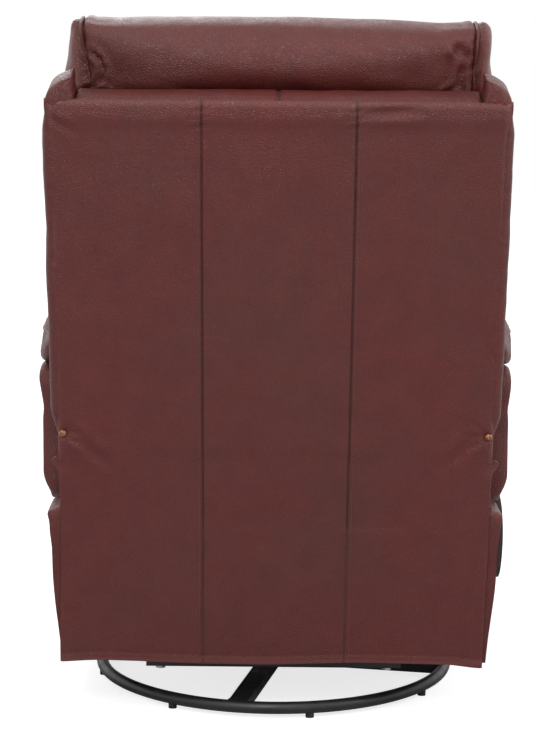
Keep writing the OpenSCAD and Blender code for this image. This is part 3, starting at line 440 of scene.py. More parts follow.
def run(name, kind, paths, closed, body, pitch=0.005, length=0.0036, thickness=0.0008, slot="leather", material=None):
    """Stitches, piping or weld beads along paths, closed or open, as one plain piece on a body."""
    points, edges = [], []
    for path in paths:
        first = len(points)
        points += [tuple(p) for p in path]
        edges += [(first + k, first + k + 1) for k in range(len(path) - 1)]
        if closed:
            edges.append((first + len(path) - 1, first))
    mesh = bpy.data.meshes.new(name)
    mesh.from_pydata(points, edges, [])
    piece = new_object(name, mesh)
    label = kind.capitalize() + " run"
    tree = bpy.data.node_groups.get(label) or path_tree(label, kind)
    live = piece.modifiers.new(label, "NODES")
    live.node_group = tree
    values = {"Pitch": pitch, "Length": length, "Thickness": thickness, "Material": finish(material or slot)}
    for item in tree.interface.items_tree:
        if item.in_out == "INPUT" and item.name in values:
            live[item.identifier] = values[item.name]
    settle(piece)
    if not piece.data.polygons:
        raise RuntimeError(f"{name} came out empty")
    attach(piece, body)


# Materials


class Maker:
    """A material's nodes, added one by one."""

    def __init__(self, name, roughness=0.5, metallic=0.0, specular=0.5):
        self.material = bpy.data.materials.new(name)
        self.material.use_nodes = True
        self.tree = self.material.node_tree
        self.set("Roughness", roughness)
        self.set("Metallic", metallic)
        self.set("Specular IOR Level", specular)
        self.place = self.add("ShaderNodeTexCoord")["Object"]

    def add(self, kind, inputs=None, **values):
        return add_node(self.tree, kind, inputs, **values).outputs

    def set(self, name, value):
        socket = self.tree.nodes["Principled BSDF"].inputs[name]
        if isinstance(value, bpy.types.NodeSocket):
            self.tree.links.new(value, socket)
        else:
            socket.default_value = value

    def done(self, colour, normal=None, roughness=None):
        """The material, with its colour, normal and roughness joined to the shader."""
        for name, value in (("Base Color", colour), ("Normal", normal), ("Roughness", roughness)):
            if value is not None:
                self.set(name, value)
        return self.material

    def stretched(self, x, y, z):
        """Object coordinates stretched along each axis."""
        return self.add("ShaderNodeMapping", {"Vector": self.place, "Scale": (x, y, z)})[0]

    def noise(self, scale, detail=2.0, rough=0.5, place=None):
        return self.add("ShaderNodeTexNoise",
            {"Vector": place or self.place, "Scale": scale, "Detail": detail, "Roughness": rough})["Fac"]

    def levels(self, value, low, high, to_low=0.0, to_high=1.0):
        return self.add("ShaderNodeMapRange", {"Value": value, "From Min": low, "From Max": high,
            "To Min": to_low, "To Max": to_high})["Result"]

    def mix(self, share, a, b, blend="MIX"):
        a, b = (tint if isinstance(tint, bpy.types.NodeSocket) else (*tint, 1) for tint in (a, b))
        return self.add("ShaderNodeMix", {0: share, 6: a, 7: b}, data_type="RGBA", blend_type=blend)[2]

    def shaded(self, colour, level):
        """A colour made lighter or darker by a level."""
        grey = self.add("ShaderNodeCombineColor", {"Red": level, "Green": level, "Blue": level})[0]
        return self.mix(1.0, colour, grey, "MULTIPLY")

    def given(self, name):
        """A number that a piece's own mesh carries."""
        return self.add("ShaderNodeAttribute", attribute_name=name)["Fac"]

    def bump(self, height, strength, distance, **under):
        return self.add("ShaderNodeBump",
            {"Height": height, "Strength": strength, "Distance": distance, **under})["Normal"]


def make_leather():
    """Glossy pebbled leather whose dye drifts between red and brown."""
    dye = setting("leather")
    m = Maker("Leather", dye.roughness, specular=0.38)
    drift = m.levels(m.noise(5.5, 3.0, 0.55, m.stretched(1, 1, 0.5)), 0.32, 0.68)
    colour = m.mix(drift, dye.red, dye.brown)
    colour = m.shaded(colour, m.levels(m.noise(30.0, 3.0, 0.6), 0.3, 0.7, 0.90, 1.09))
    edges = m.add("ShaderNodeTexVoronoi", {"Vector": m.place, "Scale": 1 / dye.grain}, feature="DISTANCE_TO_EDGE")
    pebble = m.levels(edges["Distance"], 0.02, 0.35)
    colour = m.shaded(colour, m.levels(pebble, 0.0, 0.5, 0.78, 1.0))
    # Painted highlight: a paler tint where the mesh marks edges, lips and ends.
    colour = m.mix(m.given("worn"), colour, dye.worn)
    # Painted shade: a near-black tint in the seam grooves, where the mesh marks them.
    colour = m.mix(m.given("deep"), colour, (0.018, 0.006, 0.006))
    gloss = m.levels(m.noise(55.0, 3.0, 0.6), 0.3, 0.7, dye.roughness - 0.06, dye.roughness + 0.08)
    height = m.add("ShaderNodeMath", {0: m.noise(1500.0, 1.0), 1: 0.25, 2: pebble}, operation="MULTIPLY_ADD")[0]
    wrinkles = m.bump(m.noise(140.0, 4.0, 0.6), 0.26, 0.0014)
    return m.done(colour, m.bump(height, 0.60, 0.0008, Normal=wrinkles), gloss)


def make_thread():
    """Dark red waxed thread."""
    m = Maker("Thread", 0.55, specular=0.3)
    twist = m.noise(900.0, 2.0)
    return m.done(m.mix(twist, (0.085, 0.035, 0.030), (0.19, 0.095, 0.085)), m.bump(twist, 0.4, 0.0003))


def make_black_steel():
    """Black powder coat with fine orange peel and dust."""
    m = Maker("Black powder coat", 0.38)
    dust = m.levels(m.noise(24.0, 4.0, 0.7), 0.45, 0.8)
    return m.done(m.mix(dust, (0.010, 0.010, 0.011), (0.022, 0.021, 0.021)), m.bump(m.noise(420.0), 0.25, 0.0004),
        m.levels(m.noise(60.0, 3.0), 0.3, 0.7, 0.30, 0.46))


def make_zinc_steel():
    """Zinc plate with a faint yellow bloom and drawn scratches."""
    m = Maker("Zinc plate", 0.34, metallic=1.0)
    bloom = m.levels(m.noise(30.0, 4.0, 0.6), 0.35, 0.7)
    drawn = m.noise(40.0, 3.0, 0.6, m.stretched(1, 30, 30))
    return m.done(m.mix(bloom, (0.52, 0.52, 0.50), (0.62, 0.60, 0.50)), m.bump(drawn, 0.12, 0.0003),
        m.levels(drawn, 0.3, 0.7, 0.26, 0.46))


def make_rubber():
    """Black rubber with a dusty bloom."""
    m = Maker("Rubber", 0.75, specular=0.3)
    dust = m.noise(80.0, 4.0, 0.7)
    colour = m.mix(m.levels(dust, 0.4, 0.75), (0.012, 0.012, 0.012), (0.035, 0.033, 0.031))
    return m.done(colour, m.bump(dust, 0.3, 0.0004))


def make_timber():
    """Softwood and plywood under a dark walnut stain, with grain along its length."""
    m = Maker("Timber", 0.6, specular=0.3)
    grain = m.noise(11.0, 5.0, 0.6, m.stretched(0.8, 6, 6))
    fine = m.noise(90.0, 3.0, 0.6, m.stretched(0.3, 8, 8))
    colour = m.mix(m.levels(grain, 0.3, 0.7), (0.070, 0.034, 0.020), (0.044, 0.021, 0.013))
    return m.done(m.mix(m.levels(fine, 0.45, 0.7, 0, 0.5), colour, (0.024, 0.012, 0.008)), m.bump(fine, 0.3, 0.0004))


def make_felt():
    """Grey bonded fibre, for the deck and the straps."""
    m = Maker("Felt", 0.95, specular=0.15)
    m.set("Sheen Weight", 0.4)
    cloud = m.mix(m.noise(30.0, 4.0, 0.7), (0.13, 0.125, 0.12), (0.21, 0.20, 0.19))
    return m.done(cloud, m.bump(m.noise(700.0, 3.0, 0.7), 0.6, 0.0006))


def make_nylon():
    """Black moulded nylon."""
    m = Maker("Nylon", 0.42, specular=0.45)
    return m.done(m.mix(m.noise(70.0, 3.0), (0.040, 0.040, 0.041), (0.060, 0.059, 0.058)),
        m.bump(m.noise(500.0), 0.12, 0.0003))


def make_black_handle():
    """Dark brown moulded paddle, half gloss."""
    m = Maker("Dark moulding", 0.36)
    return m.done(m.mix(m.noise(60.0, 4.0), (0.020, 0.009, 0.008), (0.030, 0.015, 0.013)),
        m.bump(m.noise(700.0), 0.2, 0.0003), m.levels(m.noise(90.0, 3.0), 0.3, 0.7, 0.28, 0.44))


def make_copper_nail():
    """Copper with a brown patina in patches."""
    m = Maker("Copper", 0.32, metallic=1.0)
    patina = m.levels(m.noise(260.0, 4.0, 0.6), 0.35, 0.65)
    return m.done(m.mix(patina, (0.44, 0.20, 0.12), (0.16, 0.07, 0.045)),
        roughness=m.levels(m.noise(400.0, 3.0), 0.3, 0.7, 0.24, 0.46))


FINISHES = {
    "leather": ("Leather", make_leather),
    "thread": ("Thread", make_thread),
    "black_steel": ("Black powder coat", make_black_steel),
    "zinc_steel": ("Zinc plate", make_zinc_steel),
    "rubber": ("Rubber", make_rubber),
    "timber": ("Timber", make_timber),
    "felt": ("Felt", make_felt),
    "nylon": ("Nylon", make_nylon),
    "black_handle": ("Dark moulding", make_black_handle),
    "copper_nail": ("Copper", make_copper_nail),
}


def finish(slot):
    """The material of a slot, made the first time it is asked for."""
    label, make = FINISHES[slot]
    return bpy.data.materials.get(label) or make()


# Pieces


SOFT_WORDS = ("pad", "pillow", "cushion", "wings", "bolster", "panel", "band", "flap")


def is_soft(node):
    """Whether a CAD node is leather work."""
    return any(word in node for word in SOFT_WORDS) and "plate" not in node


class RECLINER_OT_frame_finishes(bpy.types.Operator):
    """Gives steel, timber, rubber and the other hard parts their materials"""

    bl_idname = "recliner.frame_finishes"
    bl_label = "Frame finishes"

    slots = {
        "rubber": ("base_feet",),
        "timber": ("front_rail", "rear_rail", "arm_frames", "seat_frame", "back_stiles", "back_rails",
            "footrest_board"),
        "zinc_steel": ("bearing_balls", "bearing_lower_race", "bearing_upper_race", "kingpin", "glide_upper_pins",
            "turntable_bolts", "glide_front_links", "glide_rear_links", "chassis_pins", "chassis_bolts", "seat_pins",
            "seat_springs", "lever_shaft"),
        "nylon": ("lever_bushing", "seat_shoes"),
        "copper_nail": ("back_nails",),
        "black_handle": ("lever_handle",),
        "felt": ("seat_deck_pad", "back_webbing"),
    }

    def execute(self, context):
        told = {node: slot for slot, members in self.slots.items() for node in members}
        for name, node in frame["nodes"].items():
            material = finish(told.get(name, "leather" if is_soft(name) else "black_steel"))
            node.data.materials.clear()
            node.data.materials.append(material)
        return {"FINISHED"}


# Sizes of the rear leather, in metres
SEAM_DRIFT = 0.0015  # how much further out the right seam runs at the top than at the bottom
ROW_GAP = 0.0052  # from an upright seam to its row of stitches
NAIL_INSET = 0.007  # from the panel's side edge to a nail's middle
SIDE_ROUND, TOP_ROUND = 0.007, 0.012  # how wide the panel's side and top edges are rounded
FLAP_ROUND = 0.006  # how wide the flap's side edges are rounded
THICKNESS = 0.0012  # how far the leather lies outside its board
FREE_LENGTH = 0.22  # how far up from its hem the flap swings
HEM_FOLD = 0.014  # height of the hem that is folded in


def upright_seams(drift):
    """Where the left and the right upright seam run across the back."""
    seam_x = setting("back").seam_x
    return seam_x - 0.001, -seam_x - drift


def rear_height(x, u, half, top, nail_rise):
    """How far the rear leather stands off its board, with its seams, folds and swell."""
    points = np.stack([x, 0 * x, u], 1)
    height = 0.0016 * ripple(points * [1, 1, 0.7], 0.30, 3) + 0.0006 * ripple(points, 0.09, 5)
    # The groove of each upright seam, the dent of its stitches, and puckers across it
    for seam, side in zip(upright_seams(SEAM_DRIFT * ramp(0.0, 0.55, u)), (1, -1)):
        gap = x - seam
        height += 0.0011 * bell(gap, 0.012) - 0.0021 * bell(gap, 0.0016) - 0.0007 * bell(gap - side * ROW_GAP, 0.0018)
        pucker = 0.4 + 0.6 * np.exp(-((top - u) / 0.06))
        height += 0.00035 * np.sin(u / 0.0085) * bell(gap, 0.010) * pucker
    # A padded line under the top edge, with folds where the seams meet it
    height += 0.0022 * bell(top - 0.024 - u, 0.012)
    for seam in upright_seams(SEAM_DRIFT):
        for k, reach in enumerate((0.014, 0.020, 0.011)):
            start, end = (seam - 0.012, 0, top - 0.010 - 0.011 * k), (seam + reach, 0, top - 0.016 - 0.010 * k)
            height += fold(points, start, end, 0.0035, 0.0016)
    height += fold(points, (-0.120, 0, top - 0.016), (-0.195, 0, top - 0.012), 0.007, 0.003, 0.9)
    height += fold(points, (0.318, 0, top - 0.02), (0.285, 0, top - 0.045), 0.006, 0.002)
    # The dent of each nail, with folds that fan out from it
    for side in (-1, 1):
        nail = np.array([side * (half - NAIL_INSET), 0, nail_rise])
        height -= 0.0030 * bell(np.linalg.norm(points - nail, axis=1), 0.010)
        for turn in (-1.2, -0.6, 0.1, 0.8):
            tip = nail + np.array([-side * math.cos(turn), 0, math.sin(turn)]) * 0.034
            height += fold(points, nail, tip, 0.0035, 0.0011)
        height += fold(points, nail + [-side * 0.010, 0, 0.006], nail + [-side * 0.068, 0, -0.052], 0.009, 0.0022)
    return height


class RECLINER_OT_rear_leather(bpy.types.Operator):
    """Makes the outer panel in three widths and the flap that hangs below it"""

    bl_idname = "recliner.rear_leather"
    bl_label = "Rear leather"

    def execute(self, context):
        place = back_place()
        low, high = extent("back_outer_panel", place)
        nail_rise = np.mean(extent("back_nails", place), axis=0)[2]
        self.panel(place, low, high, nail_rise)
        self.flap(place, low, high, nail_rise)
        return {"FINISHED"}

    def grid(self, half, rows):
        """Places on the leather, close together across it at the seams and edges."""
        seam_x = setting("back").seam_x
        marks = set(np.round(np.arange(-half, half + 1e-6, 0.004), 5))
        for seam in (seam_x, -seam_x):
            marks |= set(np.round(np.arange(seam - 0.012, seam + 0.012, 0.0008), 5))
        for edge in (-1, 1):
            marks |= set(np.round(edge * (half - np.array([0, 0.0005, 0.0015, 0.003, 0.005, 0.0075, 0.01])), 5))
        marks = np.array(sorted(m for m in marks if abs(m) <= half))
        marks = marks[np.concatenate([[True], np.diff(marks) > 0.0003])]
        x, u = np.meshgrid(marks, np.concatenate(rows))
        return x.ravel(), u.ravel(), x.shape

    def panel(self, place, low, high, nail_rise):
        half, top, bottom = high[0], high[2], low[2]
        last = top - np.array([0.009, 0.006, 0.0035, 0.0015, 0])
        x, u, shape = self.grid(half, (np.arange(bottom - 0.002, top - 0.012, 0.004), last))
        height = rear_height(x, u, half, top, nail_rise)
        edge = np.clip((np.abs(x) - half + SIDE_ROUND) / SIDE_ROUND, 0, 1)
        roll = np.clip((u - top + TOP_ROUND) / TOP_ROUND, 0, 1)
        fall = 0.0050 * round_off(edge) + 0.0055 * round_off(roll)
        out = high[1] + THICKNESS + height * (1 - edge ** 2) - fall
        hem = ramp(bottom, bottom + 0.020, u)
        out = out * hem + (high[1] - 0.0003 + height * 0.9) * (1 - hem)
        inside = np.minimum(low[1] + 0.0006, out - 0.0004) * hem + (out - 0.0005) * (1 - hem)
        corner = ramp(top - 0.075, top - 0.006, u) * ramp(half - 0.05, half, np.abs(x))
        across = x + np.sign(x) * 0.0065 * corner
        piece = shell("outer_panel", place, shape, across, out - 0.004 * corner * edge, inside, u)
        local = seen_from(place, piece)
        # Painted shade: a dark line in the two upright seam grooves.
        mark(piece, "deep", sum(0.6 * bell(local[:, 0] - seam, 0.0016) for seam in upright_seams(0.0008)), 0.9)
        # Painted highlight: a paler strip along the side and top edges, where they catch the light.
        worn = 0.22 * bell(np.abs(local[:, 0]) - half + 0.002, 0.003) + 0.25 * bell(local[:, 2] - top + 0.004, 0.004)
        mark(piece, "worn", worn, 0.6)
        dress(piece, "back", "leather", "back_outer_panel")

    def flap(self, place, low, high, nail_rise):
        half, line = high[0], low[2]
        hem = extent("rear_flap", place)[0][2]
        rows = np.arange(hem, hem + 0.020, 0.0025), np.arange(hem + 0.022, line + 0.004, 0.005)
        x, u, shape = self.grid(half, rows)
        height = rear_height(x, u, half, high[2], nail_rise)
        free = 1 - ramp(hem, hem + FREE_LENGTH, u)
        waves = 1.0 + 0.55 * np.sin(x / 0.058 + 0.8) + 0.3 * np.sin(x / 0.031 + 2.1)
        waves += 0.25 * ripple(np.stack([x, 0 * x, u], 1), 0.2, 11)
        swing = setting("back").wave * free * np.maximum(waves, 0) * 0.6
        corner = ramp(half - 0.06, half, np.abs(x))
        hang = free * (0.0035 * corner * np.where(x > 0, 0.6, 1.4) + 0.0016 * np.sin(x / 0.07 + 1.0))
        edge = np.clip((np.abs(x) - half + FLAP_ROUND) / FLAP_ROUND, 0, 1)
        out = high[1] - 0.0007 + height * (0.9 - 0.4 * free) + swing - 0.0022 * round_off(edge)
        out = np.maximum(out, high[1] - 0.0010 - 0.05 * ramp(0.02, 0.05, u))
        curl = bell(u - line + 0.008, 0.010) * ramp(half - 0.014, half, np.abs(x))
        folded = 1 - ramp(0.010, HEM_FOLD, u - hem)
        out += 0.0010 * folded - 0.009 * curl - 0.0009 * bell(u - hem - 0.0135, 0.0012)
        inside = out - 0.0018 - 0.0016 * folded
        lowered = u - hang * ramp(0.3, 0.0, (u - hem) / 0.3)
        lowered = np.minimum(lowered, line + 0.004 - 0.004 * ramp(0.255, 0.272, np.abs(x)))
        across = x * (1 + 0.0085 * free) + 0.0035 * free + np.sign(x) * 0.011 * curl
        piece = shell("rear_flap_leather", place, shape, across, out, inside, lowered)
        local = seen_from(place, piece)
        # Painted shade: a dark line in the two upright seam grooves.
        mark(piece, "deep", sum(0.6 * bell(local[:, 0] - seam, 0.0016) for seam in upright_seams(-0.0004)), 0.9)
        # Painted highlight: a paler strip along the hem's folded lip.
        mark(piece, "worn", 0.30 * bell(local[:, 2] - hem - 0.003, 0.005), 0.6)
        dress(piece, "chassis", "leather", "rear_flap")


class RECLINER_OT_top_band(bpy.types.Operator):
    """Makes the leather band that closes the top of the back"""

    bl_idname = "recliner.top_band"
    bl_label = "Top band"

    def execute(self, context):
        place = back_place()
        piece = skin("top_band", "back_top_band", 0.003, 2)
        local = seen_from(place, piece)
        low, high = local.min(0), local.max(0)
        middle, reach = (low + high) / 2, (high - low) / 2
        crown = 0.0035 * (1 - ((local[:, 1] - middle[1]) / reach[1]) ** 2)
        rise = np.clip(crown, 0, 1) + 0.0008 * ripple(local, 0.07, 21) - 0.0022 * bell(local[:, 0], 0.0028)
        rise -= 0.0012 * bell(local[:, 1] - high[1] + 0.009, 0.0022)
        local[:, 2] += np.where(local[:, 2] > middle[2], rise, 0)
        set_coords(piece.data, placed(local, place))
        # Painted shade: a dark line in the middle seam's groove.
        mark(piece, "deep", 0.6 * bell(local[:, 0], 0.003), 0.6)
        dress(piece, "back", "leather", "back_top_band")
        return {"FINISHED"}


class RECLINER_OT_wings(bpy.types.Operator):
    """Makes the padded wings at both sides of the back"""

    bl_idname = "recliner.wings"
    bl_label = "Wings"

    def execute(self, context):
        place = back_place()
        piece = skin("wings", "back_wings", 0.0045, 4)
        local = seen_from(place, piece)
        low, high = local.min(0), local.max(0)
        swell = setting("back").bulge * (0.3 + 0.7 * ramp(0.300, high[0], np.abs(local[:, 0])))
        swell += 0.0011 * ripple(local, 0.12, 31) + 0.0005 * ripple(local, 0.045, 32)
        for side in (-1, 1):
            for rise in (0.25, 0.355, 0.46, 0.565):
                swell += fold(local, (side * 0.282, -0.085, rise), (side * 0.300, -0.100, rise + 0.02), 0.006, 0.0018)
        push(piece, swell * ramp(low[2] + 0.002, low[2] + 0.045, local[:, 2]))
        local = seen_from(place, piece)
        self.shoulder(local, high[2])
        set_coords(piece.data, placed(local, place))
        dress(piece, "back", "leather", "back_wings")
        return {"FINISHED"}

    def shoulder(self, local, top):
        """Turns the flat top of each wing into a quarter round that falls outward, with a tuck in its crease."""
        side, x, v, u = np.sign(local[:, 0]), np.abs(local[:, 0]), local[:, 1], local[:, 2]
        crease, width, start = 0.283, 0.043, top - 0.038
        rise = np.clip((u - start) / (top - start), 0, 1)
        share = (x - crease) / width
        wide = 0.0405 * np.sqrt(np.clip(1 - rise ** 2.2, 0.02, 1))
        near = ramp(start - 0.04, start, u)
        x = x + near * (crease + np.clip(share, 0, 1) * wide - x)
        row = fold(np.stack([x, 0 * x, u], 1), (0.296, 0, top - 0.004), (0.290, 0, top - 0.032), 0.0022, 0.0020, 0.8)
        rear = ramp(0.0, 0.018, v)
        local[:, 2] -= 0.016 * ramp(0.42, 0.0, share) * ramp(start, top, u)
        local[:, 0] = side * x
        local[:, 1] += row * rear
        local[:, 2] += 0.0012 * np.sin(u / 0.006) * near * rear * bell(x - 0.293, 0.010)


# Sizes of the cushions, in metres
SEAM_REACH = 0.007  # how far beside a seam the leather is held
RIM = 0.03  # how wide the rim of a cushion is that its seam may hold
PIPED_BACK = 0.035  # from a back cushion's front to its piping
PIPED_SEAT = 0.030  # from the seat cushion's top to its piping
PIPED_FOOTREST = 0.020  # from the footrest pad's front to its piping
# Folds of the head pillow, each from one place across and up the back to another, with its width and depth
HEAD_FOLDS = (
    ((-0.243, 0.738), (-0.262, 0.716), 0.007, 0.0040),
    ((-0.258, 0.742), (-0.251, 0.712), 0.006, 0.0030),
    ((-0.258, 0.700), (-0.2545, 0.672), 0.005, 0.0034),
    ((-0.2545, 0.672), (-0.222, 0.652), 0.005, 0.0034),
    ((-0.272, 0.705), (-0.270, 0.680), 0.005, 0.0026),
    ((0.273, 0.662), (0.262, 0.665), 0.004, 0.0030),
    ((0.262, 0.665), (0.222, 0.652), 0.004, 0.0032),
    ((-0.224, 0.651), (-0.277, 0.650), 0.004, 0.0026),
)
# Corners of the crescent tuck at the head pillow's left end
HEAD_TUCK = ((0.266, 0.716), (0.2535, 0.706), (0.2490, 0.694), (0.2520, 0.680), (0.2620, 0.667))


def stuff(jobs):
    """Swells closed skins as cloth, all at once, and keeps every point near where it began."""
    s = setting("stuffing")
    begun = []
    for piece, _, held in jobs:
        begun.append(coords(piece.data))
        group = piece.vertex_groups.new(name="held")
        for index in np.nonzero(held > 0)[0]:
            group.add([int(index)], float(held[index]), "REPLACE")
        cloth = piece.modifiers.new("Stuffing", "CLOTH")
        c = cloth.settings
        c.quality = 4
        c.mass = 0.3
        c.tension_stiffness = c.compression_stiffness = 12
        c.shear_stiffness = 6
        c.bending_stiffness = 0.6
        c.use_pressure = True
        c.uniform_pressure_force = s.pressure
        c.effector_weights.gravity = 0
        c.vertex_group_mass = "held"
        cloth.point_cache.frame_start, cloth.point_cache.frame_end = 1, s.frames
    for number in range(1, s.frames + 1):
        bpy.context.scene.frame_set(number)
    for (piece, cap, _), points in zip(jobs, begun):
        graph = bpy.context.evaluated_depsgraph_get()
        move = coords(piece.evaluated_get(graph).data) - points
        piece.modifiers.clear()
        piece.vertex_groups.clear()
        far = np.linalg.norm(move, axis=1)
        move *= (cap * np.tanh(far / cap) / np.maximum(far, 1e-9))[:, None]
        set_coords(piece.data, points + move)
    bpy.context.scene.frame_set(1)


def held_near(points, level, axis):
    """1 on a seam at a level of an axis, falling to 0 beside it."""
    return np.clip(1 - np.abs(points[:, axis] - level) / SEAM_REACH, 0, 1)


def rim(local, low, high, axes):
    """1 at a box's rim across two axes, 0 inside it."""
    inside = np.ones(len(local))
    for axis in axes:
        inside *= (local[:, axis] > low[axis] + RIM) & (local[:, axis] < high[axis] - RIM)
    return 1 - inside


def end_seam(local):
    """How far from the middle the head roll's piped end seams run, at each point's height."""
    u = local[:, 2]
    left = np.interp(u, (0.640, 0.659, 0.668, 0.747), (0.279, 0.277, 0.268, 0.2815))
    right = np.interp(u, (0.640, 0.700, 0.747), (0.2785, 0.2775, 0.2815))
    return np.where(local[:, 0] > 0, left, right)


class RECLINER_OT_cushions(bpy.types.Operator):
    """Makes the stuffed pieces: seat, back cushions, head pillow, arm pillows and footrest pad"""

    bl_idname = "recliner.cushions"
    bl_label = "Cushions and pillows"

    def execute(self, context):
        place, flat, cell = back_place(), Matrix.Identity(4), setting("stuffing").cell
        # Each plan ends with how far the skin may swell, a seed, and the height and length of broad and fine ripples
        plans = (
            ("seat_pillow", "seat_cushion", "seat", flat, cell, 0.009, 41, (0.0022, 0.16), (0.0009, 0.06)),
            ("lower_pillow", "back_lower_cushion", "back", place, cell, 0.009, 51, (0.0022, 0.15), (0.0009, 0.055)),
            ("upper_pillow", "back_upper_cushion", "back", place, cell, 0.009, 61, (0.0024, 0.16), (0.0010, 0.06)),
            ("head_roll", "head_pillow", "back", place, 0.005, 0.006, 71, (0.0012, 0.13), (0.0007, 0.05)),
            ("arm_tops", "arm_pillows", "chassis", flat, 0.0065, 0.005, 81, (0.0016, 0.15), (0.0008, 0.055)),
            ("footrest_pillow", "footrest_pad", "ottoman", flat, cell, 0.006, 91, (0.0018, 0.14), (0.0008, 0.055)),
        )
        jobs = []
        for name, node, _, axes, size, cap, *_ in plans:
            piece = skin(name, node, size, 2)
            jobs.append((piece, cap, self.held(name, seen_from(axes, piece))))
        stuff(jobs)
        for (name, node, body, axes, _, _, seed, broad, fine), (piece, *_) in zip(plans, jobs):
            set_coords(piece.data, eased(piece.data, 3))
            if name == "head_roll":
                self.square_head(piece, axes)
            if name == "arm_tops":
                self.taper_arms(piece)
            local = seen_from(axes, piece)
            height = broad[0] * ripple(local, broad[1], seed) + fine[0] * ripple(local, fine[1], seed + 1)
            details = getattr(self, name, None)
            push(piece, details(local, height, piece) if details else height)
            dress(piece, body, "leather", node)
        return {"FINISHED"}

    def held(self, name, local):
        """Where a skin is held by its seams while it swells: 1 there, 0 where it is free."""
        low, high = local.min(0), local.max(0)
        if name == "head_roll":
            return np.clip(1 - np.abs(np.abs(local[:, 0]) - end_seam(local)) / 0.008, 0, 1)
        if name in ("lower_pillow", "upper_pillow"):
            seam = held_near(local, low[1] + PIPED_BACK, 1) * rim(local, low, high, (0, 2))
            return np.maximum(local[:, 1] > high[1] - 0.02, seam)
        if name == "seat_pillow":
            seam = held_near(local, high[2] - PIPED_SEAT, 2) * rim(local, low, high, (0, 1))
            return np.maximum(local[:, 2] < low[2] + 0.015, seam)
        if name == "footrest_pillow":
            return np.maximum(local[:, 1] > high[1] - 0.012, held_near(local, low[1] + PIPED_FOOTREST, 1))
        return (local[:, 2] < low[2] + 0.025).astype(float)

    def seat_pillow(self, local, height, piece):
        """Folds that run from the seat's rim towards its middle."""
        top = local[:, 2].max()
        upper = ramp(top - 0.06, top - 0.02, local[:, 2])
        for x, y in ((-0.19, -0.40), (0.17, -0.41), (-0.2, -0.02), (0.2, 0.0), (0.0, -0.43)):
            end = (x * 0.6, y + (0.06 if y < -0.2 else -0.07), top - 0.004)
            height += fold(local, (x, y, top - 0.012), end, 0.010, 0.003) * upper
        return height

    def corner_folds(self, local, height, outer, inner, inset, share, width):
        """Folds that run from a back cushion's corners towards its middle."""
        low, high = local.min(0), local.max(0)
        for side in (-1, 1):
            for z in (low[2] + inset, high[2] - inset):
                end = (side * inner, low[1] + 0.002, z * (1 - share) + share * (low[2] + high[2]) / 2)
                height += fold(local, (side * outer, low[1] + 0.02, z), end, width, 0.0035)
        return height

    def lower_pillow(self, local, height, piece):
        return self.corner_folds(local, height, 0.215, 0.13, 0.03, 0.3, 0.011)

    def upper_pillow(self, local, height, piece):
        return self.corner_folds(local, height, 0.25, 0.16, 0.035, 0.25, 0.012)

    def head_roll(self, local, height, piece):
        """The head pillow's piped seams, puckers, crescent tuck and corner folds, on its rear face."""
        high = local.max(0)
        x, v, u = local.T
        behind = ramp(high[1] - 0.075, high[1] - 0.045, v)
        height *= 0.3 + 0.7 * ramp(high[2] - 0.010, high[2] - 0.035, u)
        off = np.abs(x) - end_seam(local)
        height += 0.0050 * bell(off - 0.012, 0.010) + 0.0022 * bell(off + 0.010, 0.007) - 0.0045 * bell(off, 0.0040)
        height -= behind * 0.0035 * bell(x - 0.261, 0.009) * bell(u - 0.692, 0.018)
        folds = [(start, end, 0.0042, 0.0042, 1.0) for start, end in zip(HEAD_TUCK, HEAD_TUCK[1:])]
        for side in (-1, 1):
            for k in range(5):
                at = high[2] - 0.020 - 0.019 * k
                folds.append(((side * 0.283, at), (side * (0.262 - 0.004 * (k % 2)), at - 0.004), 0.003, 0.0009, 0.6))
        folds += [(*crease, 0.9) for crease in HEAD_FOLDS]
        flat = local * [1, 0, 1]
        for start, end, width, depth, lip in folds:
            height += behind * fold(flat, (start[0], 0, start[1]), (end[0], 0, end[1]), width, depth, lip)
        # Painted shade in the piped end seams' grooves, and a painted highlight on the roll's ends beyond them.
        mark(piece, "deep", 0.55 * bell(off, 0.0030), 0.8)
        mark(piece, "worn", 0.45 * ramp(0.006, 0.013, off), 0.6)
        return height

    def square_head(self, piece, place):
        """Squares the head roll's upper corners, fills its ends and lowers its top towards the sitter's right."""
        local = seen_from(place, piece)
        x, u = local[:, 0], local[:, 2]
        top, out = u.max(), np.abs(x)
        ridge = ramp(top - 0.050, top - 0.012, u)
        local[:, 2] += 0.0075 * ramp(0.225, 0.290, out) * ridge
        local[:, 2] -= 0.0045 * ramp(0.02, -0.30, x) * ridge
        local[:, 0] += np.sign(x) * (0.004 + 0.007 * bell(u - 0.668, 0.035)) * ramp(0.262, 0.290, out)
        local[:, 0] -= 0.0075 * ramp(0.712, 0.740, u) * ramp(0.262, 0.290, x)
        set_coords(piece.data, placed(local, place))

    def taper_arms(self, piece):
        """Draws each arm pillow's rear end inward, so its flank shows from behind and not its end."""
        points = coords(piece.data)
        x, y, z = np.abs(points[:, 0]), points[:, 1], points[:, 2]
        inward = 0.004 * ramp(0.06, 0.13, y) + 0.017 * ramp(0.12, 0.25, y)
        inward = inward * (0.15 + 0.85 * ramp(0.548, 0.585, z)) + 0.002 * ramp(0.12, 0.2, y)
        share = np.clip((x - 0.250) / 0.115, 0, 1)
        lower = 0.008 * ramp(0.564, 0.545, z) * ramp(0.11, 0.17, y)
        points[:, 0] = np.sign(points[:, 0]) * (x - inward * share + lower * share)
        points[:, 2] -= 1.5 * lower * ramp(0.5, 0.85, share)
        set_coords(piece.data, points)


SIDE_LINE = 0.3325  # from the middle to a side panel's outer face at the rear
BOLSTER_LINE = 0.3565  # from the middle to a bolster's outer face at the rear


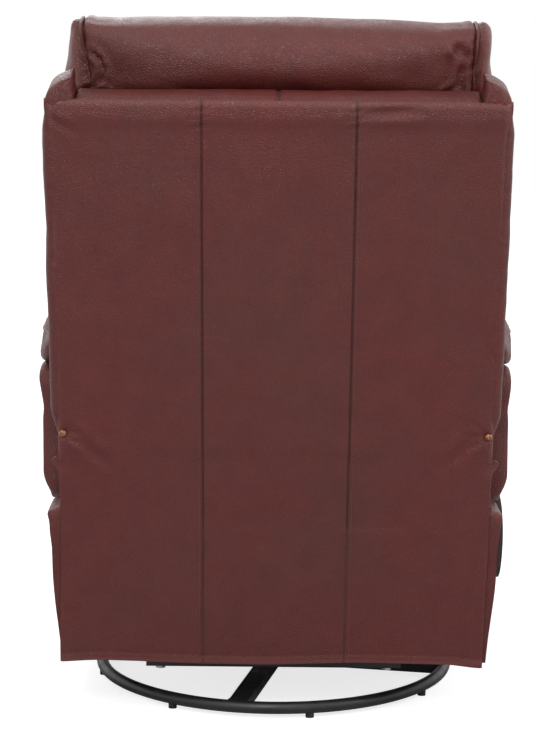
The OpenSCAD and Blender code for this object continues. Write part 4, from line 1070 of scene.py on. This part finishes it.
class RECLINER_OT_arms(bpy.types.Operator):
    """Makes the arms' leather: side panels, bolsters, inner pads and front panels"""

    bl_idname = "recliner.arms"
    bl_label = "Arms"

    def execute(self, context):
        for name, node, cell, rounds, fill in (
            ("side_panels", "arm_side_panels", 0.006, 4, 0.5),
            ("bolsters", "arm_bolsters", 0.006, 5, 0.7),
            ("inner_pads", "arm_inner_pads", 0.004, 2, 0.4),
            ("front_panels", "arm_front_panels", 0.005, 3, 0.5),
        ):
            piece = skin(name, node, cell, rounds)
            points = coords(piece.data)
            push(piece, 0.0010 * ripple(points, 0.14, len(name)) + 0.0005 * ripple(points, 0.05, 3 + len(name)))
            outward = getattr(self, name, None)
            if outward:
                points = coords(piece.data)
                side, x = np.sign(points[:, 0]), np.abs(points[:, 0])
                across, rise = outward(side, x, points[:, 1], points[:, 2])
                points[:, 0] = side * (x + across)
                points[:, 2] += rise
                set_coords(piece.data, points)
            dress(piece, "chassis", "leather", node)
        return {"FINISHED"}

    def side_panels(self, side, x, y, z):
        """Draws the outer face out to one line as far as the rear corner, and in towards the floor."""
        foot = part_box("arm_side_panels")[0].z
        line = SIDE_LINE - 0.010 * ramp(foot + 0.15, foot - 0.01, z)
        line += 0.003 * ramp(0.27, 0.31, z) + 0.006 * ramp(0.306, 0.318, z)
        rear = ramp(0.12, 0.20, y) * ramp(0.300, 0.322, x)
        lip = ramp(0.296, 0.318, z) * ramp(0.334, 0.326, z)
        return rear * ramp(0.330, 0.300, z) * (line - x), 0.011 * rear * lip

    def bolsters(self, side, x, y, z):
        """Fills out the rear end into a roll along the top and a flank below it."""
        line = BOLSTER_LINE + (0.0044 + 0.0014 * side) * bell(z - 0.517, 0.026)
        line -= 0.0015 * bell(z - 0.468, 0.012) + 0.012 * ramp(0.368, 0.322, z)
        rear = ramp(0.10, 0.175, y) * ramp(0.312, 0.345, x)
        return rear * ramp(0.318, 0.330, z) * (line - x), -0.009 * rear * ramp(0.338, 0.324, z)


class RECLINER_OT_deck(bpy.types.Operator):
    """Makes the quilted deck pad under the seat and the straps inside the back"""

    bl_idname = "recliner.deck"
    bl_label = "Deck and straps"

    def execute(self, context):
        pad = skin("deck_quilt", "seat_deck_pad", 0.004, 1)
        points = coords(pad.data)
        top = points[:, 2] > (points[:, 2].min() + points[:, 2].max()) / 2
        quilt = np.abs(np.sin(points[:, 0] / 0.014) * np.sin(points[:, 1] / 0.014)) ** 0.5
        points[:, 2] += np.where(top, -0.0022 * (1 - quilt), 0)
        set_coords(pad.data, points)
        dress(pad, "seat", "felt", "seat_deck_pad")
        straps = bevelled(copied("back_straps", "back_webbing"), 0.0006, 2, 30)
        dress(straps, "back", "felt", "back_webbing", sharp=30)
        return {"FINISHED"}


class RECLINER_OT_lever_paddle(bpy.types.Operator):
    """Makes the release lever's paddle with softened edges"""

    bl_idname = "recliner.lever_paddle"
    bl_label = "Lever paddle"

    def execute(self, context):
        dress(bevelled(copied("paddle", "lever_handle"), 0.002, 3, 40), "lever", "black_handle", "lever_handle")
        return {"FINISHED"}


class RECLINER_OT_seams(bpy.types.Operator):
    """Sews the stitch rows and lays the piping"""

    bl_idname = "recliner.seams"
    bl_label = "Stitches and piping"

    def execute(self, context):
        place = back_place()
        self.rear_rows(place)
        self.band_row(place)
        self.piping(place)
        self.welds()
        return {"FINISHED"}

    def rear_rows(self, place):
        """Stitches beside the two upright seams of panel and flap."""
        low, high = extent("back_outer_panel", place)
        hem = extent("rear_flap", place)[0][2]
        left, right = upright_seams(0.0008)
        for name, body, first, last in (("outer_panel", "back", low[2] + 0.004, high[2] - 0.004),
                ("rear_flap_leather", "chassis", hem + 0.002, low[2] - 0.004)):
            us = np.arange(first, last, 0.004)
            lines = [(0 * us + row, 0 * us + high[1] + 0.02, us) for row in (left + ROW_GAP, right - ROW_GAP)]
            self.sew(name + "_stitches", name, body, lines, place, 1)

    def band_row(self, place):
        """Stitches along the rear edge of the top band."""
        low, high = extent("back_top_band", place)
        xs = np.arange(low[0] + 0.006, high[0] - 0.006, 0.004)
        line = (xs, 0 * xs + high[1] - 0.007, 0 * xs + high[2] + 0.02)
        self.sew("band_stitches", "top_band", "back", [line], place, 2)

    def sew(self, name, piece, body, lines, place, axis):
        """Rows of stitches where lines fall on a piece along one of the back's own axes."""
        s, way = setting("seams"), -Vector(place.col[axis][:3]).normalized()
        rows = [on_surface(bpy.data.objects[piece], placed(np.stack(line, 1), place), way) for line in lines]
        run(name, "stitch", rows, False, body, s.pitch, s.stitch, s.thread, material="thread")

    def piping(self, place):
        """Piping round the cushions, pillows and pads."""
        across, level, upright = Vector((1, 0, 0)), Vector((0, 1, 0)), Vector((0, 0, 1))
        rearward, lifted = Vector(place.col[1][:3]), Vector(place.col[2][:3])

        def ring(name, centre, first, second, reach=0.6):
            return loop_round(bpy.data.objects[name], centre, first, second, reach)

        def lay(name, rings, body, share=1.0):
            run(name, "piping", rings, True, body, thickness=setting("seams").piping * share)

        low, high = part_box("seat_cushion")
        lay("seat_piping", [ring("seat_pillow", (0, (low.y + high.y) / 2, high.z - PIPED_SEAT), across, level)], "seat")
        rings = []
        for name, node in (("lower_pillow", "back_lower_cushion"), ("upper_pillow", "back_upper_cushion")):
            low, high = extent(node, place)
            at = placed([[0, low[1] + PIPED_BACK, (low[2] + high[2]) / 2]], place)[0]
            rings.append(ring(name, at, across, lifted))
        lay("back_piping", rings, "back")
        rings = []
        low, high = extent("head_pillow", place)
        for side in (-1, 1):
            core = np.array([side * 0.274, (low[1] + high[1]) / 2, (low[2] + high[2]) / 2])
            local = placed(ring("head_roll", placed([core], place)[0], rearward, lifted), place.inverted())
            local[:, 0] = side * end_seam(local)
            out = local[:, 1:] - core[1:]
            local[:, 1:] -= 0.0022 * out / np.linalg.norm(out, axis=1)[:, None]
            rings.append(placed(local, place))
        lay("head_piping", rings, "back", 0.9)
        low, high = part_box("arm_pillows")
        middle = (low + high) / 2
        rings = [ring("arm_tops", (side * 0.308, middle.y, middle.z + 0.004), across, level, 0.42) for side in (-1, 1)]
        lay("arm_piping", rings, "chassis", 0.8)
        low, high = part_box("footrest_pad")
        centre = (0, low.y + PIPED_FOOTREST, (low.z + high.z) / 2)
        lay("footrest_piping", [ring("footrest_pillow", centre, across, upright)], "ottoman", 0.8)

    def welds(self):
        """Weld beads where the spokes meet the floor ring."""
        low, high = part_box("base_ring")
        tube = high.z - low.z
        radius = high.x - tube / 2
        spoke_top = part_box("base_spokes")[1].z
        turn = -math.radians(setting("stage").base_turn)
        beside = 0.0152  # from a spoke's middle to its weld
        paths = []
        for k in range(4):
            way = Vector((math.cos(turn + k * math.pi / 2), math.sin(turn + k * math.pi / 2), 0))
            side = Vector((-way.y, way.x, 0))
            for half in (-beside, beside):
                foot, head = (way * (radius - tube * share) + side * half for share in (0.46, 0.30))
                rises = low.z + 0.005, (low.z + high.z) / 2, spoke_top - 0.001
                paths.append([spot + Vector((0, 0, rise)) for spot, rise in zip((foot, foot, head), rises)])
        run("base_welds", "weld", paths, False, "base", 0.0022, 0.0040, 0.0042, slot="black_steel")


class RECLINER_OT_stage(bpy.types.Operator):
    """Sets the floor, light and camera"""

    bl_idname = "recliner.stage"
    bl_label = "Stage"

    def execute(self, context):
        s = setting("stage")
        scene = context.scene
        scene.view_settings.view_transform = "Standard"
        self.floor()
        self.world(s.ambient)
        self.lamp("Overhead", (0.3, 1.6, 2.6), (0, 0.3, 0.6), 1.6, 10)
        self.lamp("Behind", (0.5, 3.3, 2.5), (0, 0.4, 0.85), 0.9, 30)
        self.lamp("Side left", (-2.2, 1.0, 1.8), (0, 0.3, 0.6), 1.2, 13)
        self.lamp("Front", (0.6, -2.4, 2.2), (0, -0.1, 0.5), 1.6, 14)
        camera = bpy.data.cameras.new("Camera")
        camera.sensor_width = 36
        camera.lens = s.lens
        camera.clip_end = 50
        scene.camera = new_object("Camera", camera)
        scene.camera.matrix_world = (
            Matrix.Translation((0, s.distance, s.height)) @ Matrix.Rotation(math.pi + s.turn, 4, "Z")
            @ Matrix.Rotation(math.pi / 2 - s.pitch, 4, "X") @ Matrix.Rotation(s.roll, 4, "Z"))
        return {"FINISHED"}

    def floor(self):
        """A wide floor, nearly white to the camera and grey to every other ray."""
        mesh = bpy.data.meshes.new("floor")
        reach = 12
        corners = [(x * reach, y * reach, 0) for x, y in ((-1, -1), (1, -1), (1, 1), (-1, 1))]
        mesh.from_pydata(corners, [], [(0, 1, 2, 3)])
        material = bpy.data.materials.new("Pale floor")
        material.use_nodes = True
        tree = material.node_tree
        tree.nodes.clear()
        seen = add_node(tree, "ShaderNodeLightPath").outputs["Is Camera Ray"]
        paint = add_node(tree, "ShaderNodeBsdfDiffuse", {"Color": (0.55, 0.55, 0.55, 1)}).outputs[0]
        glow = add_node(tree, "ShaderNodeEmission", {"Color": WHITE, "Strength": 0.76}).outputs[0]
        both = add_node(tree, "ShaderNodeAddShader", {0: paint, 1: glow}).outputs[0]
        mixed = add_node(tree, "ShaderNodeMixShader", {"Fac": seen, 1: paint, 2: both}).outputs[0]
        add_node(tree, "ShaderNodeOutputMaterial", {"Surface": mixed})
        mesh.materials.append(material)
        new_object("floor", mesh)

    def world(self, ambient):
        """White to the camera and in reflections, and a level of light from all round."""
        world = bpy.data.worlds.new("Studio")
        bpy.context.scene.world = world
        world.use_nodes = True
        tree = world.node_tree
        tree.nodes.clear()
        ray = add_node(tree, "ShaderNodeLightPath").outputs
        most = ray["Is Camera Ray"]
        for name in ("Is Glossy Ray", "Is Transmission Ray"):
            most = add_node(tree, "ShaderNodeMath", {0: most, 1: ray[name]}, operation="MAXIMUM").outputs[0]
        dim = add_node(tree, "ShaderNodeBackground", {"Color": WHITE, "Strength": ambient}).outputs[0]
        bright = add_node(tree, "ShaderNodeBackground", {"Color": WHITE}).outputs[0]
        mixed = add_node(tree, "ShaderNodeMixShader", {"Fac": most, 1: dim, 2: bright}).outputs[0]
        add_node(tree, "ShaderNodeOutputWorld", {"Surface": mixed})

    def lamp(self, name, place, target, size, power):
        """A round lamp that faces a point."""
        light = bpy.data.lights.new(name, "AREA")
        light.shape, light.size, light.energy = "DISK", size, power
        holder = new_object(name, light)
        holder.location = place
        holder.rotation_euler = (Vector(target) - Vector(place)).to_track_quat("-Z", "Y").to_euler()


class RECLINER_PT_panel(bpy.types.Panel):
    """Lists the recliner's settings and the operators that make its pieces"""

    bl_idname = "RECLINER_PT_panel"
    bl_label = "Recliner"
    bl_space_type = "VIEW_3D"
    bl_region_type = "UI"
    bl_category = "Recliner"

    def draw(self, context):
        for name, kind in GROUPS.items():
            box = self.layout.box()
            box.label(text=name.capitalize())
            for item in kind.__annotations__:
                box.prop(setting(name), item)
        for operator in OPERATORS:
            self.layout.operator(operator.bl_idname)


OPERATORS = (
    RECLINER_OT_stage,
    RECLINER_OT_frame_finishes,
    RECLINER_OT_rear_leather,
    RECLINER_OT_top_band,
    RECLINER_OT_wings,
    RECLINER_OT_cushions,
    RECLINER_OT_arms,
    RECLINER_OT_deck,
    RECLINER_OT_lever_paddle,
    RECLINER_OT_seams,
)
CLASSES = (*GROUPS.values(), *OPERATORS, RECLINER_PT_panel)


def register():
    for kind in CLASSES:
        bpy.utils.register_class(kind)
    for name, kind in GROUPS.items():
        setattr(bpy.types.Scene, "recliner_" + name, PointerProperty(type=kind))


def unregister():
    for name in GROUPS:
        delattr(bpy.types.Scene, "recliner_" + name)
    for kind in reversed(CLASSES):
        bpy.utils.unregister_class(kind)


def main():
    register()
    for operator in OPERATORS:
        group, name = operator.bl_idname.split(".")
        getattr(getattr(bpy.ops, group), name)()


if __name__ == "__main__":
    main()
